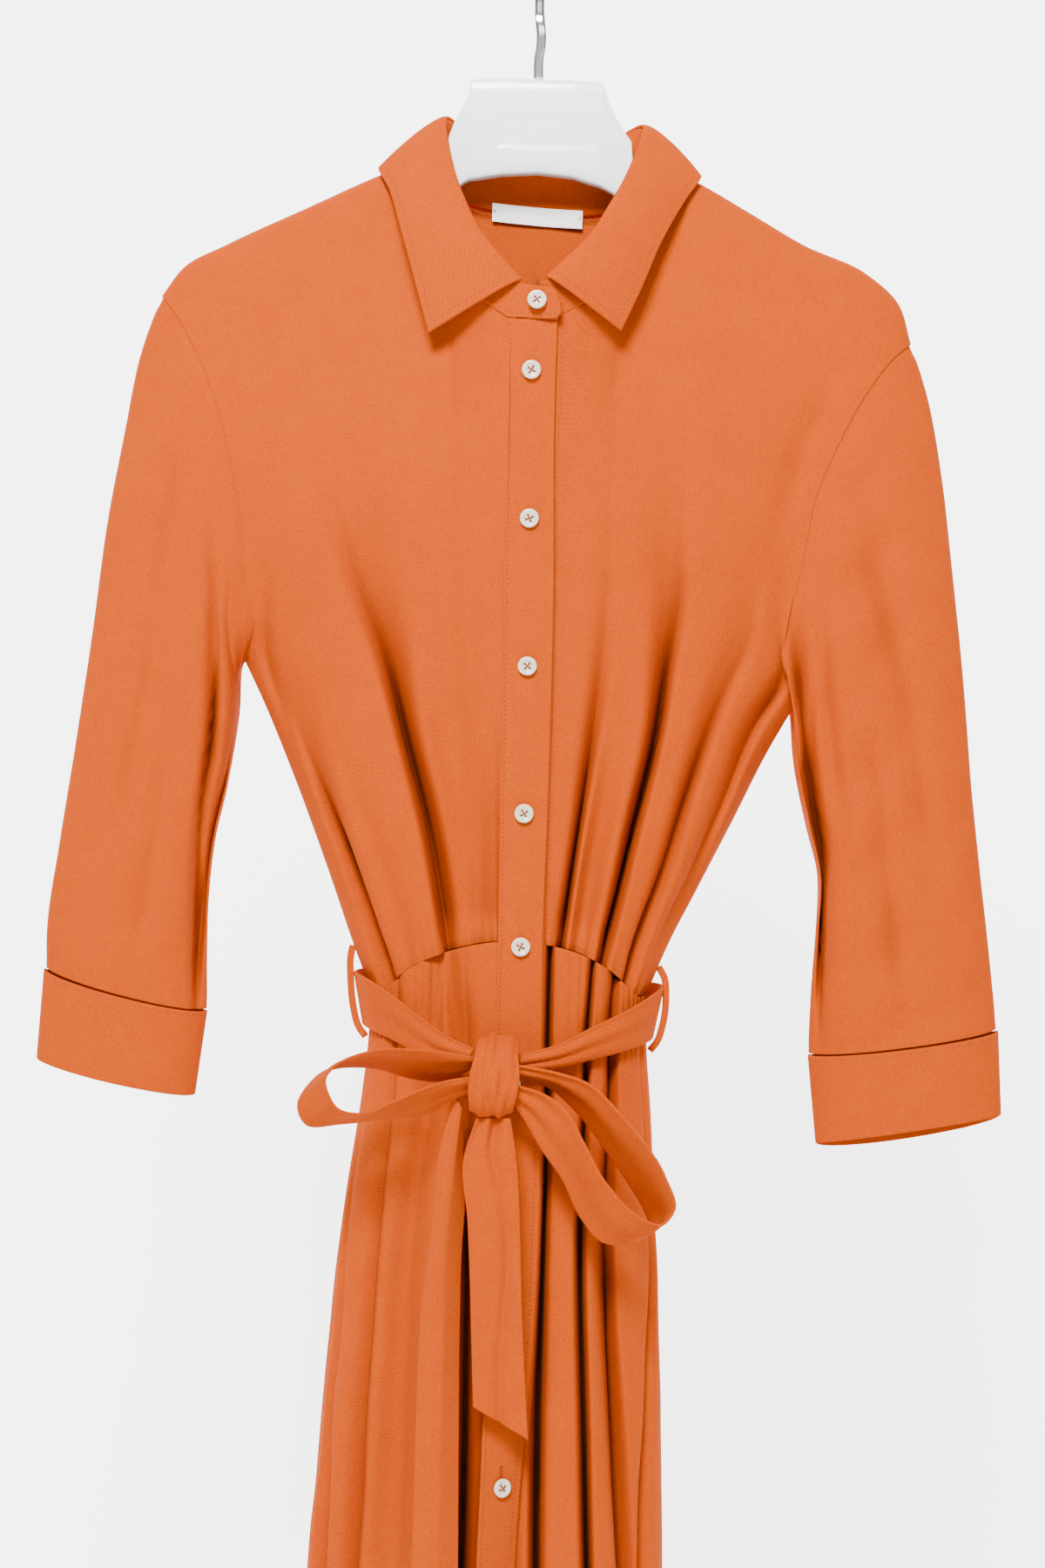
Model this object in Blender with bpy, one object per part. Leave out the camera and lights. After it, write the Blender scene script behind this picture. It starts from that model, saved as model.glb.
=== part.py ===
"""A shirt dress with a tied belt, hanging from a moulded hanger.

World frame: metres, +Z up, front of the dress towards -Y, wearer's right
towards -X. The origin is the top of the hook's inside, where a rail carries it.
Tables and sizes are in millimetres and are turned into metres in add_mesh.
"""
import math

import bpy
import numpy as np

MM = 0.001
NORMAL_PASSES = 2       # how often a wall's directions are evened out
SHARP_ANGLE = math.radians(50)

# ---------------------------------------------------------------- sizes (mm)
CLOTH = 1.2             # panel wall
DOUBLE = 1.8            # wall of two-layer pieces: collar, cuffs, bands, belt
SEAM_GAP = 0.5          # clear space between two pieces at a seam
HEM_Z = -1310.0         # height of the hem at the centre front
ARMHOLE_SHARE = 0.5     # share of the side line that is armhole
NECK_SHARE = 0.24       # share of the front's top line that is neckline
ARMHOLE_DEPTH = 25.0    # how far the armhole opens to the front and the back
HANGER_RISE = 13.0      # how far the cloth stands off over the hanger's arm
UNDER_STEP = 3.4        # the under band lies this far behind the button band
SIDE_GAP = 0.8          # front and back panels stay this far off y = 0
BODICE_ROWS = (0.001, 0.008, 0.025, 0.06, 0.13, 0.22, 0.32, 0.42, 0.5, 0.58, 0.67, 0.76, 0.85, 0.93, 0.9993)
NECK_ROWS = (0.001, 0.04, 0.075, 0.105, 0.15) + BODICE_ROWS[5:]
SKIRT_ROWS = (0.0006, 0.03, 0.07, 0.13, 0.22, 0.34, 0.48, 0.64, 0.82, 1.0)
ARMHOLE_GAP = 0.005     # share of a panel's width left clear at the armhole
ARMHOLE_STEP = 0.7      # the sleeve's top edge stands this far off the armhole
NECK_TURN = 0.3         # columns have left the neckline's direction this far down
NECK_COLUMN = {"right": 0.28, "left": 0.33}  # where the column from the neck point meets the waist
BUTTON_RADIUS = 5.5
BUTTON_THICKNESS = 2.4
LABEL_THICKNESS = 0.6

# The shoulder line, neck to tip.
SHOULDER = {
    "right": ((-57, 0, -131), (-88, 0, -144), (-136, 0, -167), (-183, 0, -190), (-206, 0, -203),
              (-219, 0, -221)),
    "left": ((63, 0, -131), (94, 0, -144), (127, 0, -162), (161, 0, -181), (198, 0, -197), (217, 0, -214),
             (225, 0, -238)),
}
# The armhole seen from the front, tip to underarm: x, z.
ARMHOLE = {
    "right": ((-219, -221), (-208, -235), (-196, -256), (-184, -284), (-174, -320), (-167, -352),
              (-163, -392), (-159, -412), (-165, -434)),
    "left": ((225, -238), (214, -248), (198, -270), (183, -298), (169, -334), (162, -374),
             (155, -408), (154, -428), (165, -448)),
}
# The side seam, underarm to waist: x, z.
SIDE_SEAM = {
    "right": ((-165, -434), (-153, -458), (-132, -506), (-110, -562), (-96, -600), (-84, -630)),
    "left": ((165, -448), (147, -480), (126, -524), (107, -563), (90, -598), (78, -628)),
}
# The waist seam's height over the width, front and back: x, front z, back z.
WAIST_SEAM = (
    (-86, -630, -630), (-77, -627, -629), (-62, -614, -620), (-42, -604, -611), (-11, -596, -606),
    (17, -597, -606), (40, -603, -610), (60, -615, -618), (72, -626, -627), (80, -628, -628),
)
# The front opening: z, button band seam x and y, its free edge x and y.
FRONT_EDGE = (
    (-234, -14, -60, 15, -60), (-300, -13, -55, 15, -55), (-400, -12, -52, 17, -52),
    (-500, -11, -50, 17, -49),
    (-596, -10, -49, 16, -47), (-660, -10, -49, 17, -45), (-745, -10, -53, 18, -45),
    (-836, -11, -58, 16, -46),
    (-911, -12, -61, 11, -48), (-957, -13, -63, 9, -49), (-1100, -14, -70, 9, -58), (-1310, -15, -82, 9, -72),
)
# Rings of the skirt: z, right and left reach, depth before and behind.
SKIRT_RINGS = (
    (-596, -84, 78, 47, 42), (-659, -85, 79, 47, 42), (-690, -88, 82, 50, 46), (-750, -96, 86, 55, 53),
    (-850, -105, 92, 63, 61), (-950, -111, 96, 69, 68), (-1100, -120, 100, 77, 78),
    (-1310, -131, 106, 88, 90),
)
# Centre back line, neck to waist: x, y, z.
CENTRE_BACK = ((2, 25, -163), (2, 31, -220), (1, 38, -300), (0, 43, -400), (-1, 45, -500), (-3, 42, -606))

# Sections through the collar, centre front to centre back, on each side:
# seam x y z, roll line x y z, outer edge x y z.
COLLAR_SECTIONS = {
    "right": (
        (-14.5, -60, -237, -6, -64, -216, -59, -55, -246),
        (-35, -54, -222, -26, -55, -193, -67, -50, -218),
        (-51, -38, -188, -41, -41, -165, -77, -38, -184),
        (-57, -18, -152, -50, -20, -135, -85, -19, -158),
        (-57, 0, -131, -53, 2, -111, -92, -1, -142),
        (-44, 16, -157, -38, 19, -117, -62, 37, -158),
        (2, 25, -163, 2, 24, -127, 2, 37, -176),
    ),
    "left": (
        (17, -57, -235, 8, -64, -214, 52, -55, -242),
        (37, -54, -222, 28, -55, -193, 62, -50, -219),
        (54, -38, -190, 44, -41, -167, 74, -38, -188),
        (62, -18, -154, 57, -20, -137, 88, -19, -160),
        (63, 0, -131, 63, 2, -113, 98, -1, -142),
        (50, 16, -160, 43, 19, -119, 68, 37, -160),
        (2, 25, -163, 2, 24, -127, 2, 37, -176),
    ),
}

# Sleeves: outer and inner edge, top to cuff seam (x, z); depth of the tube
# and its middle at the top, half way and at the cuff seam (depth, middle y).
SLEEVE_OUTER = {
    "right": ((-219, -221), (-230, -255), (-238, -300), (-247, -355), (-254, -420), (-262, -485),
              (-270, -545), (-276, -596), (-276, -619)),
    "left": ((225, -238), (235, -268), (245, -317), (252, -368), (261, -440), (267, -500),
             (274, -555), (280, -600), (285, -641)),
}
SLEEVE_INNER = {
    "right": ((-165, -434), (-171, -455), (-170, -480), (-173, -510), (-179, -540), (-182, -575),
              (-182, -610), (-181, -641)),
    "left": ((165, -448), (168, -475), (168, -500), (173, -530), (179, -556), (178, -585),
             (176, -620), (175, -658)),
}
SLEEVE_DEPTH = ((ARMHOLE_DEPTH, 0), (27, -2), (24, -4), (20, -6))
# Cuffs: the ring at the top edge and at the bottom edge, as outer x z,
# inner x z, how far the front and the back hang below that line, depth.
CUFF_RINGS = {
    "right": ((-277, -620, -181, -642, 4, 3, 20), (-280, -673, -187, -692, 3, 3, 19)),
    "left": ((286, -642, 175, -659, 3, 3, 20), (289, -692, 181, -711, 0, 8, 18)),
}

# Folds that run down into the waist. Each is a valley in a panel: its place
# across the panel where it starts, half way down and at the waist (0 front
# edge, 1 side), how far down the panel it starts, its depth at the waist and
# its half width where it starts and at the waist.
BODICE_FOLDS = {
    "right": (
        (0.70, 0.52, 0.41, 0.25, 14.0, 18, 3.2),
        (0.88, 0.87, 0.80, 0.50, 8.0, 12, 3.4),
    ),
    "left": (
        (0.17, 0.22, 0.14, 0.45, 8.0, 12, 2.6),
        (0.52, 0.47, 0.53, 0.35, 13.0, 14, 2.8),
        (0.82, 0.71, 0.78, 0.32, 9.0, 14, 3.2),
    ),
    "back": (
        (-0.75, -0.77, -0.78, 0.35, 8.0, 14, 4),
        (-0.42, -0.44, -0.46, 0.30, 11.0, 16, 3.5),
        (-0.12, -0.13, -0.14, 0.45, 7.0, 16, 4),
        (0.22, 0.21, 0.20, 0.40, 9.0, 16, 4),
        (0.50, 0.51, 0.52, 0.30, 11.0, 14, 3.5),
        (0.78, 0.79, 0.80, 0.40, 7.0, 14, 4),
    ),
}
# Skirt folds: angle round the body at the waist, the knee of the fold and the
# hem (degrees, 0 centre front, positive to the wearer's left), depth at the
# waist and the hem, half width at the waist and the hem (degrees).
SKIRT_FOLDS = {
    "right": ((-27, -12.5, -10, 12, 24, 2.8, 3.0), (-54, -46, -46, 8, 16, 3, 5),
              (-75, -68, -66, 4, 14, 3, 4)),
    "left": ((23, 21, 22, 7, 12, 2.6, 3.0), (40.5, 34.5, 40, 12, 20, 2.4, 2.6),
             (56, 49, 62, 11, 18, 2.4, 3.4),
             (80, 76, 80, 4, 12, 2.5, 3)),
    "back": ((110, 111, 112, 6, 18, 4, 4), (134, 135, 136, 11, 24, 4, 4), (158, 158, 158, 9, 22, 4, 4),
             (184, 183, 182, 7, 24, 4, 4), (208, 207, 206, 11, 22, 4, 4), (232, 231, 230, 9, 24, 4, 4),
             (252, 252, 252, 6, 18, 4, 4)),
}
FOLD_KNEE = 0.36        # how far down the skirt a fold's knee lies
# Sleeve folds, front and back: place across at the top and the cuff (0 outer
# edge, 1 inner edge), where it starts and ends, depth, half width as shares.
SLEEVE_FOLDS = {
    "right": {"front": ((0.60, 0.92, 0.22, 0.98, 9, 0.05), (0.25, 0.30, 0.0, 0.8, 2.5, 0.07)),
              "back": ((0.40, 0.55, 0.1, 0.9, 5, 0.08),)},
    "left": {"front": ((0.62, 0.95, 0.20, 0.85, 11, 0.05), (0.30, 0.22, 0.1, 0.7, 2.5, 0.07)),
             "back": ((0.40, 0.55, 0.1, 0.9, 5, 0.08),)},
}

# Buttons down the front: z of each; they sit on the band's middle.
BUTTON_HEIGHTS = (-227, -266, -351, -436, -521, -598, -677, -755, -832, -909, -987, -1065, -1143)

# The belt round the waist, from the knot's right side round the back to its
# left side: x, y, z of its middle, width, lean of its top away from the body.
BELT_WAIST = (
    (-22, -62, -661, 9, 0), (-38, -54, -658, 16, 0), (-54, -43, -651, 22, 1), (-70, -32, -642, 27, 3),
    (-86, -15, -635, 31, 5), (-91.5, 2, -633, 31, 6), (-86, 23, -632, 31, 5), (-61, 38, -632, 31, 3),
    (-32, 45, -633, 31, 2), (-3, 47, -634, 31, 2), (26, 45, -634, 31, 2), (55, 38, -635, 31, 3),
    (79, 23, -636, 31, 5), (85.5, 2, -637, 31, 6), (80, -16, -640, 29, 4), (66, -33, -646, 24, 2),
    (46, -45, -653, 19, 1), (26, -55, -660, 13, 0), (3, -62.9, -664, 9, 0),
)
# The bow: near edge x y z and far edge x y z of each section.
LOOP_RIGHT = (
    (-21, -76.6, -660.2, -21, -68, -667), (-36, -84, -657, -38, -66, -675), (-56, -94, -655, -56, -69, -674),
    (-78, -100, -656, -80, -72, -668), (-101, -102, -667, -111, -76, -674),
    (-104, -101, -675, -121, -77, -689),
    (-98, -99, -688, -116, -77, -701), (-84, -97, -692, -97, -76, -700), (-66, -93, -685, -72, -74, -697),
    (-48, -88, -677, -48, -70, -694), (-34, -82, -673, -32, -68, -685), (-21, -79, -671, -21, -69, -681),
)
LOOP_LEFT = (
    (2, -78, -664, 2, -71, -671), (28, -84, -668, 22, -68, -677), (45, -92, -673, 38, -69, -691),
    (62, -99, -688, 52, -72, -708), (78, -103, -706, 66, -74, -727), (88, -104, -722, 77, -75, -744),
    (94, -103, -740, 80, -77, -755), (88, -101, -749, 74, -78, -762), (72, -99, -744, 56, -78, -764),
    (55, -96, -727, 42, -75, -751), (42, -91, -705, 30, -73, -728), (32, -88, -688, 18, -71, -712),
    (18, -84, -679, 9, -70, -697), (2, -80, -675, 2, -70, -686),
)
TAIL_WIDE = (
    (-19, -72, -694.8, 0, -72, -694.8), (-26, -74, -718, 3, -74, -710), (-23, -73, -753, 6, -73, -737),
    (-21, -72, -783, 8, -72, -772), (-19, -72, -822, 10, -72, -812), (-17, -73, -860, 15, -73, -878),
)
# The long end is creased along its length: outer edge, crease, inner edge.
TAIL_LONG = (
    (-31, -64, -684, -29, -71, -688, -27, -63, -692), (-39, -66, -710, -32, -73, -712, -27, -62, -714),
    (-42, -66, -744, -36, -75, -745, -25, -61, -746), (-44, -67, -769, -38, -76, -770, -26, -62, -771),
    (-48, -70, -809, -38, -78, -809, -26, -65, -811), (-49, -75, -867, -38, -83, -867, -25, -71, -869),
    (-49, -80, -911, -38, -88, -911, -24, -76, -913), (-49, -85, -957, -38, -92, -957, -23, -81, -959),
    (-49, -87, -990, -37, -94, -995, -23, -84, -1000),
)
# The knot's band seen from the side: y, z round it.
KNOT_LOOP = (
    (-58, -652), (-70, -651), (-80, -657), (-84, -668), (-83, -681), (-77, -691), (-67, -694), (-58, -690),
)
KNOT_REACH = (-24.0, 4.5)

# Carriers at the side seams: x, y, z of the narrow band.
CARRIERS = {
    "right": ((-98.1, 0, -602), (-99.2, 0, -608), (-98.9, 0, -622), (-97, 0, -638), (-93.5, 0, -650),
              (-89.2, 0, -656)),
    "left": ((87.5, 0, -610), (91, 0, -616), (92.4, 0, -628), (91, 0, -644), (87.5, 0, -655),
             (83.6, 0, -660)),
}
CARRIER_WIDTH = 4.2

# The hanger's neck block along x: top z, bottom z, half thickness.
HANGER_BLOCK = (
    (-66, -151, -172, 3.5), (-54, -142, -163, 4.5), (-51.5, -121, -159, 4.5), (-48, -112, -155, 4.5),
    (-45, -106, -152, 4.8), (-41, -98, -149, 5.5), (-39, -88, -148, 6.0), (-20, -87, -144.5, 6.5),
    (2, -87, -143, 6.5), (22, -87, -145, 6.5), (39, -88, -150, 6.0), (42, -98, -151.5, 5.5),
    (46, -106, -153.5, 4.8), (50.5, -114, -156, 4.5), (56.5, -122, -160, 4.5), (59, -142, -164, 4.5),
    (72, -151, -171, 3.5),
)
# Its arms under the shoulders: distance out, height, half thickness.
HANGER_ARM = ((84, 25, 3.0), (100, 27, 4.8), (125, 27, 6), (160, 24, 6.5), (182, 19, 5.5),
              (194, 13, 4), (199, 6, 2.2))
SHOULDER_SEAT = 3.8     # the arm's top lies this far under the shoulder seam
# The hook is a flat bar: its middle line up the shaft as x, y, z, then an arc
# over the rail that starts and ends at these angles (degrees, 90 at the top).
HOOK_WIDTH = 6.0
HOOK_BAR = 2.4
HOOK_RADIUS = 17.0
HOOK_SHAFT = ((0.5, 0, -86.5), (0.5, 0, -74), (1.6, 0, -66), (1.6, 0, -60), (0.4, 0, -50), (0, 5, -39))
HOOK_ARC = (-45.0, 200.0)

# The collar stand runs on past the centre front at both ends, right end on
# top: seam x y z, top x y z.
STAND_ENDS = (
    ((17, -64.5, -232.5, 16, -66, -226.5), (15.5, -64.3, -235.7, 14.8, -66, -222.5),
    (12, -64, -237.5, 11, -66, -219)),
    ((-9, -58.5, -237, -7, -60, -218),),
)
STAND_LIFT = (2.4, 3.6)  # the stand starts this far above the neck seam, front and sides
STAND_DROP = 2.3        # the stand ends this far under the roll line
COLLAR_COLUMNS = 31
STAND_BUTTON = (3.0, -65.2)
STAND_FACING = (0.0, -1.0, 0.15)
ROLL_RISE = 4.0         # how far the collar rises before it turns down
ROLL_OUT = 5.0          # how far it stands off the stand
NECK_CENTRE = 2.0       # x of the middle of the neck
COLLAR_CLEAR = 2.2      # the collar lies this far off the panels
BAND_TOP = -237.2
BAND_CROWN = 0.6
BUTTON_SIDES = 12
BUTTON_GAP = 0.6        # thread shank under a button
LABEL_REACH = (-25.0, 29.0)
LABEL_TOP = -157.0
LABEL_HEIGHT = 11.0
LABEL_Y = 22.2
LABEL_BEND = 3.5

COLOURS = {
    "jersey": ((0.72, 0.19, 0.055), 0.85, 0.0),
    "label": ((0.86, 0.82, 0.74), 0.8, 0.0),
    "shell": ((0.86, 0.80, 0.68), 0.3, 0.0),
    "hanger": ((0.9, 0.9, 0.9), 0.25, 0.0),
    "chrome": ((0.7, 0.7, 0.72), 0.15, 1.0),
}


# ---------------------------------------------------------------- helpers
def step(value, low, high):
    """Rises smoothly from 0 at low to 1 at high."""
    share = np.clip((np.asarray(value, float) - low) / (high - low), 0.0, 1.0)
    return share * share * (3.0 - 2.0 * share)


def along(rows, share):
    """Points on a smooth curve through the rows, at shares of its length."""
    rows = np.asarray(rows, float)
    gaps = np.linalg.norm(np.diff(rows, axis=0), axis=1)
    knots = np.concatenate(([0.0], np.cumsum(gaps)))
    return smooth(knots / knots[-1], rows, share)


def smooth(knots, rows, places):
    """A curve through rows given at knots, without overshoot at its ends."""
    knots = np.asarray(knots, float)
    rows = np.asarray(rows, float)
    if rows.ndim == 1:
        return smooth(knots, rows[:, None], places)[..., 0]
    slopes = np.gradient(rows, knots, axis=0)
    places = np.clip(np.asarray(places, float), knots[0], knots[-1])
    index = np.clip(np.searchsorted(knots, places, side="right") - 1, 0, len(knots) - 2)
    width = (knots[index + 1] - knots[index])[..., None]
    u = (places - knots[index])[..., None] / width
    start, end = rows[index], rows[index + 1]
    hermite = (2 * u**3 - 3 * u**2 + 1) * start + (u**3 - 2 * u**2 + u) * width * slopes[index]
    return hermite + (3 * u**2 - 2 * u**3) * end + (u**3 - u**2) * width * slopes[index + 1]


def by_height(rows, z):
    """The other columns of a table whose first column is a falling height."""
    table = np.asarray(rows, float)
    return smooth(-table[:, 0], table[:, 1:], -np.asarray(z, float))


def material(name, finish):
    """A piece's own material, in the colours of its finish."""
    colour, roughness, metallic = COLOURS[finish]
    made = bpy.data.materials.new(finish + "_" + name)
    made.use_nodes = True
    shader = made.node_tree.nodes["Principled BSDF"]
    shader.inputs["Base Color"].default_value = (*colour, 1.0)
    shader.inputs["Roughness"].default_value = roughness
    shader.inputs["Metallic"].default_value = metallic
    return made


def add_mesh(name, points, faces, finish):
    """One named object from points in millimetres."""
    mesh = bpy.data.meshes.new(name)
    mesh.from_pydata((np.asarray(points) * MM).tolist(), [], faces)
    mesh.update()
    mesh.shade_smooth()
    mesh.set_sharp_from_angle(angle=SHARP_ANGLE)
    thing = bpy.data.objects.new(name, mesh)
    bpy.context.scene.collection.objects.link(thing)
    mesh.materials.append(material(name, finish))
    return thing


def unit(vectors):
    return vectors / np.maximum(np.linalg.norm(vectors, axis=-1, keepdims=True), 1e-9)


def grid_normals(grid, ring):
    """Unit normals of a grid of points; ring says its columns close round."""
    if ring:
        across = np.roll(grid, -1, axis=1) - np.roll(grid, 1, axis=1)
    else:
        across = np.gradient(grid, axis=1)
    normals = unit(np.cross(across, np.gradient(grid, axis=0)))
    for _ in range(NORMAL_PASSES):
        padded = np.pad(normals, ((1, 1), (0, 0), (0, 0)), mode="edge")
        mode = "wrap" if ring else "edge"
        beside = np.pad(normals, ((0, 0), (1, 1), (0, 0)), mode=mode)
        normals = unit(2 * normals + padded[:-2] + padded[2:] + beside[:, :-2] + beside[:, 2:])
    return normals


def signed_volume(points, faces):
    total = 0.0
    for face in faces:
        a = points[face[0]]
        for second, third in zip(face[1:-1], face[2:]):
            total += float(np.dot(a, np.cross(points[second], points[third])))
    return total


def add_wall(name, grid, thickness, finish="jersey", ring=False):
    """A closed wall whose middle surface is the grid."""
    grid = np.asarray(grid, float)
    normals = grid_normals(grid, ring)
    rows, columns = grid.shape[:2]
    count = rows * columns
    points = np.concatenate((grid + normals * thickness / 2, grid - normals * thickness / 2)).reshape(-1, 3)
    faces = []
    last = columns if ring else columns - 1
    for r in range(rows - 1):
        for c in range(last):
            n = (c + 1) % columns
            quad = (r * columns + c, r * columns + n, (r + 1) * columns + n, (r + 1) * columns + c)
            faces.append(quad)
            faces.append(tuple(count + k for k in reversed(quad)))
    rims = [(c, (c + 1) % columns) for c in range(last)]
    for a, b in rims:
        faces.append((b, a, count + a, count + b))
        low = (rows - 1) * columns
        faces.append((low + a, low + b, count + low + b, count + low + a))
    if not ring:
        for r in range(rows - 1):
            a, b = r * columns, (r + 1) * columns
            faces.append((a, b, count + b, count + a))
            a, b = a + columns - 1, b + columns - 1
            faces.append((b, a, count + a, count + b))
    if signed_volume(points, faces) < 0:
        faces = [tuple(reversed(face)) for face in faces]
    return add_mesh(name, points, faces, finish)


def add_loft(name, sections, finish):
    """A solid through closed sections of equal point count, ends capped."""
    sections = np.asarray(sections, float)
    rows, columns = sections.shape[:2]
    faces = [(r * columns + c, r * columns + (c + 1) % columns,
              (r + 1) * columns + (c + 1) % columns, (r + 1) * columns + c)
             for r in range(rows - 1) for c in range(columns)]
    faces.append(tuple(reversed(range(columns))))
    faces.append(tuple(range((rows - 1) * columns, rows * columns)))
    points = sections.reshape(-1, 3)
    if signed_volume(points, faces) < 0:
        faces = [tuple(reversed(face)) for face in faces]
    return add_mesh(name, points, faces, finish)


# ---------------------------------------------------------------- the body
def waist_height(x, back):
    table = np.asarray(WAIST_SEAM, float)
    return smooth(table[:, 0], table[:, 2 if back else 1], x)


def ring_at(z):
    """Centre x, half width, depth before and behind at a height."""
    right, left, front, back = np.moveaxis(by_height(SKIRT_RINGS, z), -1, 0)
    return (left + right) / 2, (left - right) / 2, front, back


def ring_point(angle, z):
    """The skirt's plain ring at an angle (radians, 0 centre front)."""
    centre, half, front, back = ring_at(z)
    depth = np.where(np.cos(angle) >= 0, front, back)
    return centre + half * np.sin(angle), -depth * np.cos(angle)


def ring_inward(angle, z):
    """The level direction into the body, square to the plain ring."""
    centre, half, front, back = ring_at(z)
    depth = np.where(np.cos(angle) >= 0, front, back)
    inward = np.stack((-depth * np.sin(angle), half * np.cos(angle), np.zeros_like(depth * angle)), axis=-1)
    return unit(inward)


def front_edge(side, z):
    """Where a front panel ends at the centre: x, y at a height."""
    seam_x, seam_y, free_x, free_y = np.moveaxis(by_height(FRONT_EDGE, z), -1, 0)
    if side == "right":
        return seam_x - SEAM_GAP, seam_y
    return free_x + 2.0, free_y + UNDER_STEP


def armhole(side, share, back):
    """The armhole seam; share 0 at the shoulder tip, 1 at the underarm."""
    share = np.asarray(share, float)
    flat = along(ARMHOLE[side], share)
    reach = ARMHOLE_DEPTH * 2.0 * np.sqrt(np.clip(share * (1.0 - share), 0.0, 1.0))
    return np.stack((flat[..., 0], reach if back else -reach, flat[..., 1]), axis=-1)


def side_line(side, share, back):
    """Armhole, then side seam, from the shoulder tip down to the waist."""
    share = np.asarray(share, float)
    upper = armhole(side, np.clip(share / ARMHOLE_SHARE, 0, 1), back)
    lower = along(SIDE_SEAM[side], np.clip((share - ARMHOLE_SHARE) / (1 - ARMHOLE_SHARE), 0, 1))
    lower = np.stack((lower[..., 0], np.zeros_like(share), lower[..., 1]), axis=-1)
    return np.where((share < ARMHOLE_SHARE)[..., None], upper, lower)


def neck_share(side):
    """Where the neck point lies along the collar."""
    rows = collar_rows()
    gaps = np.linalg.norm(np.diff(rows[:, :3], axis=0), axis=1)
    index = 4 if side == "right" else len(rows) - 5
    return gaps[:index].sum() / gaps.sum(), gaps[:6].sum() / gaps.sum()


def top_line(side, share, back):
    """Neckline, then shoulder, from the centre out to the tip."""
    share = np.asarray(share, float)
    neck_point, middle = neck_share(side)
    start = middle if back else (0.0 if side == "right" else 1.0)
    on_collar = start + (neck_point - start) * np.clip(share / NECK_SHARE, 0, 1)
    on_neck = collar_at(on_collar)[0]
    on_shoulder = along(SHOULDER[side], np.clip((share - NECK_SHARE) / (1 - NECK_SHARE), 0, 1))
    return np.where((share < NECK_SHARE)[..., None], on_neck, on_shoulder)


def centre_line(side, share, back):
    """The panel's edge (front) or middle (back), neck to waist."""
    share = np.asarray(share, float)
    if back:
        return along(CENTRE_BACK, share)
    top = COLLAR_SECTIONS[side][0][2]
    z = top + share * (waist_height(np.array(0.0), False) - top)
    x, y = front_edge(side, z)
    return np.stack((x, y, z), axis=-1)


def bodice_base(side, across, down, back):
    """The plain panel: across 0 at the centre to 1 at the side, down 0 to 1."""
    top = top_line(side, across, back)
    edge = side_line(side, down, back)
    centre = centre_line(side, down, back)
    corner_in = centre_line(side, np.ones_like(across), back)
    corner_out = side_line(side, np.ones_like(across), back)
    waist_x = corner_in[..., 0] * (1 - across) + corner_out[..., 0] * across
    waist_z = waist_height(waist_x, back)
    upper_in = top_line(side, np.zeros_like(across), back)
    upper_out = top_line(side, np.ones_like(across), back)
    flat = []
    for axis, waist in ((0, waist_x), (2, waist_z)):
        sides = (1 - across) * centre[..., axis] + across * edge[..., axis]
        ends = (1 - down) * top[..., axis] + down * waist
        corners = ((1 - down) * ((1 - across) * upper_in[..., axis] + across * upper_out[..., axis])
                   + down * ((1 - across) * corner_in[..., axis] + across * corner_out[..., axis]))
        flat.append(sides + ends - corners)
    x, z = flat
    sign = 1.0 if back else -1.0
    middle = sign * centre[..., 1]
    reach = sign * edge[..., 1]
    soft = 1.0 - across**2.2
    bent = np.clip(1.0 - across**2.4, 0, 1) ** (1 / 2.4)
    below = step(down, 0.42, 0.8)
    depth = reach + (middle - reach) * (soft * (1 - below) + bent * below)
    waisted = step(down, 0.72, 1.0)
    centre_x, _, front, rear = ring_at(waist_z)
    lean = (x - centre_x) / np.abs(edge[..., 0] - centre_x)
    ring = (rear if back else front) * np.sqrt(np.clip(1 - lean ** 2, 0, 1))
    ring = ring + (middle - (rear if back else front)) * (1 - across) ** 3
    depth = depth * (1 - waisted) + ring * waisted
    held = step(across, 0.8, 1.0) * (1 - step(down, 0.4, 0.5))
    top_depth = sign * top[..., 1]
    spread = step(down, 0.0, 0.42) ** 0.75
    length = 0.05 + 0.22 * (1 - step(across, NECK_SHARE * 0.9, NECK_SHARE * 2.0))
    over_arm = np.sqrt(np.clip(1 - (1 - np.clip((down - BODICE_ROWS[0]) / length, 0, 1)) ** 2, 0, 1))
    on_arm = step(across, NECK_SHARE * 0.2, NECK_SHARE)
    depth = top_depth * (1 - spread) + depth * spread + HANGER_RISE * over_arm * on_arm * (1 - spread)
    depth = depth * (1 - held) + reach * held
    return np.stack((x, sign * depth, z), axis=-1)


def fold_place(fold, down):
    """How far across the panel a fold's valley lies at each height."""
    return smooth((0.0, 0.2, 0.6, 1.0), (fold[0], fold[0], fold[1], fold[2]), down)


def bodice_fold(folds, across, down, width):
    """How deep the folds press into a panel, in millimetres."""
    depth = np.zeros_like(across * down)
    for fold in folds:
        start, full, wide, narrow = fold[3:]
        grown = step(down, start, 1.0)
        half = wide + (narrow - wide) * grown
        place = fold_place(fold, down)
        depth = depth + full * grown**1.5 * np.exp(-(((across - place) * width) / half) ** 2)
    return depth


def bodice_panel(side, across, down, back):
    base = bodice_base(side, np.abs(across), down, back)
    width = 200.0 + (80.0 - 200.0) * step(down, 0.1, 1.0)
    signed = across if not back or side == "left" else -np.abs(across)
    press = bodice_fold(BODICE_FOLDS["back" if back else side], signed, down, width)
    angle = ring_angle(side, base, down, back)
    level = ring_inward(angle, waist_height(base[..., 0], back))
    straight = np.zeros_like(level)
    straight[..., 1] = -1.0 if back else 1.0
    turn = step(down, 0.6, 1.0)[..., None]
    fade = 1 - step(np.abs(across), 0.86, 1.0)
    return base + unit(straight * (1 - turn) + level * turn) * (press * fade)[..., None]


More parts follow.
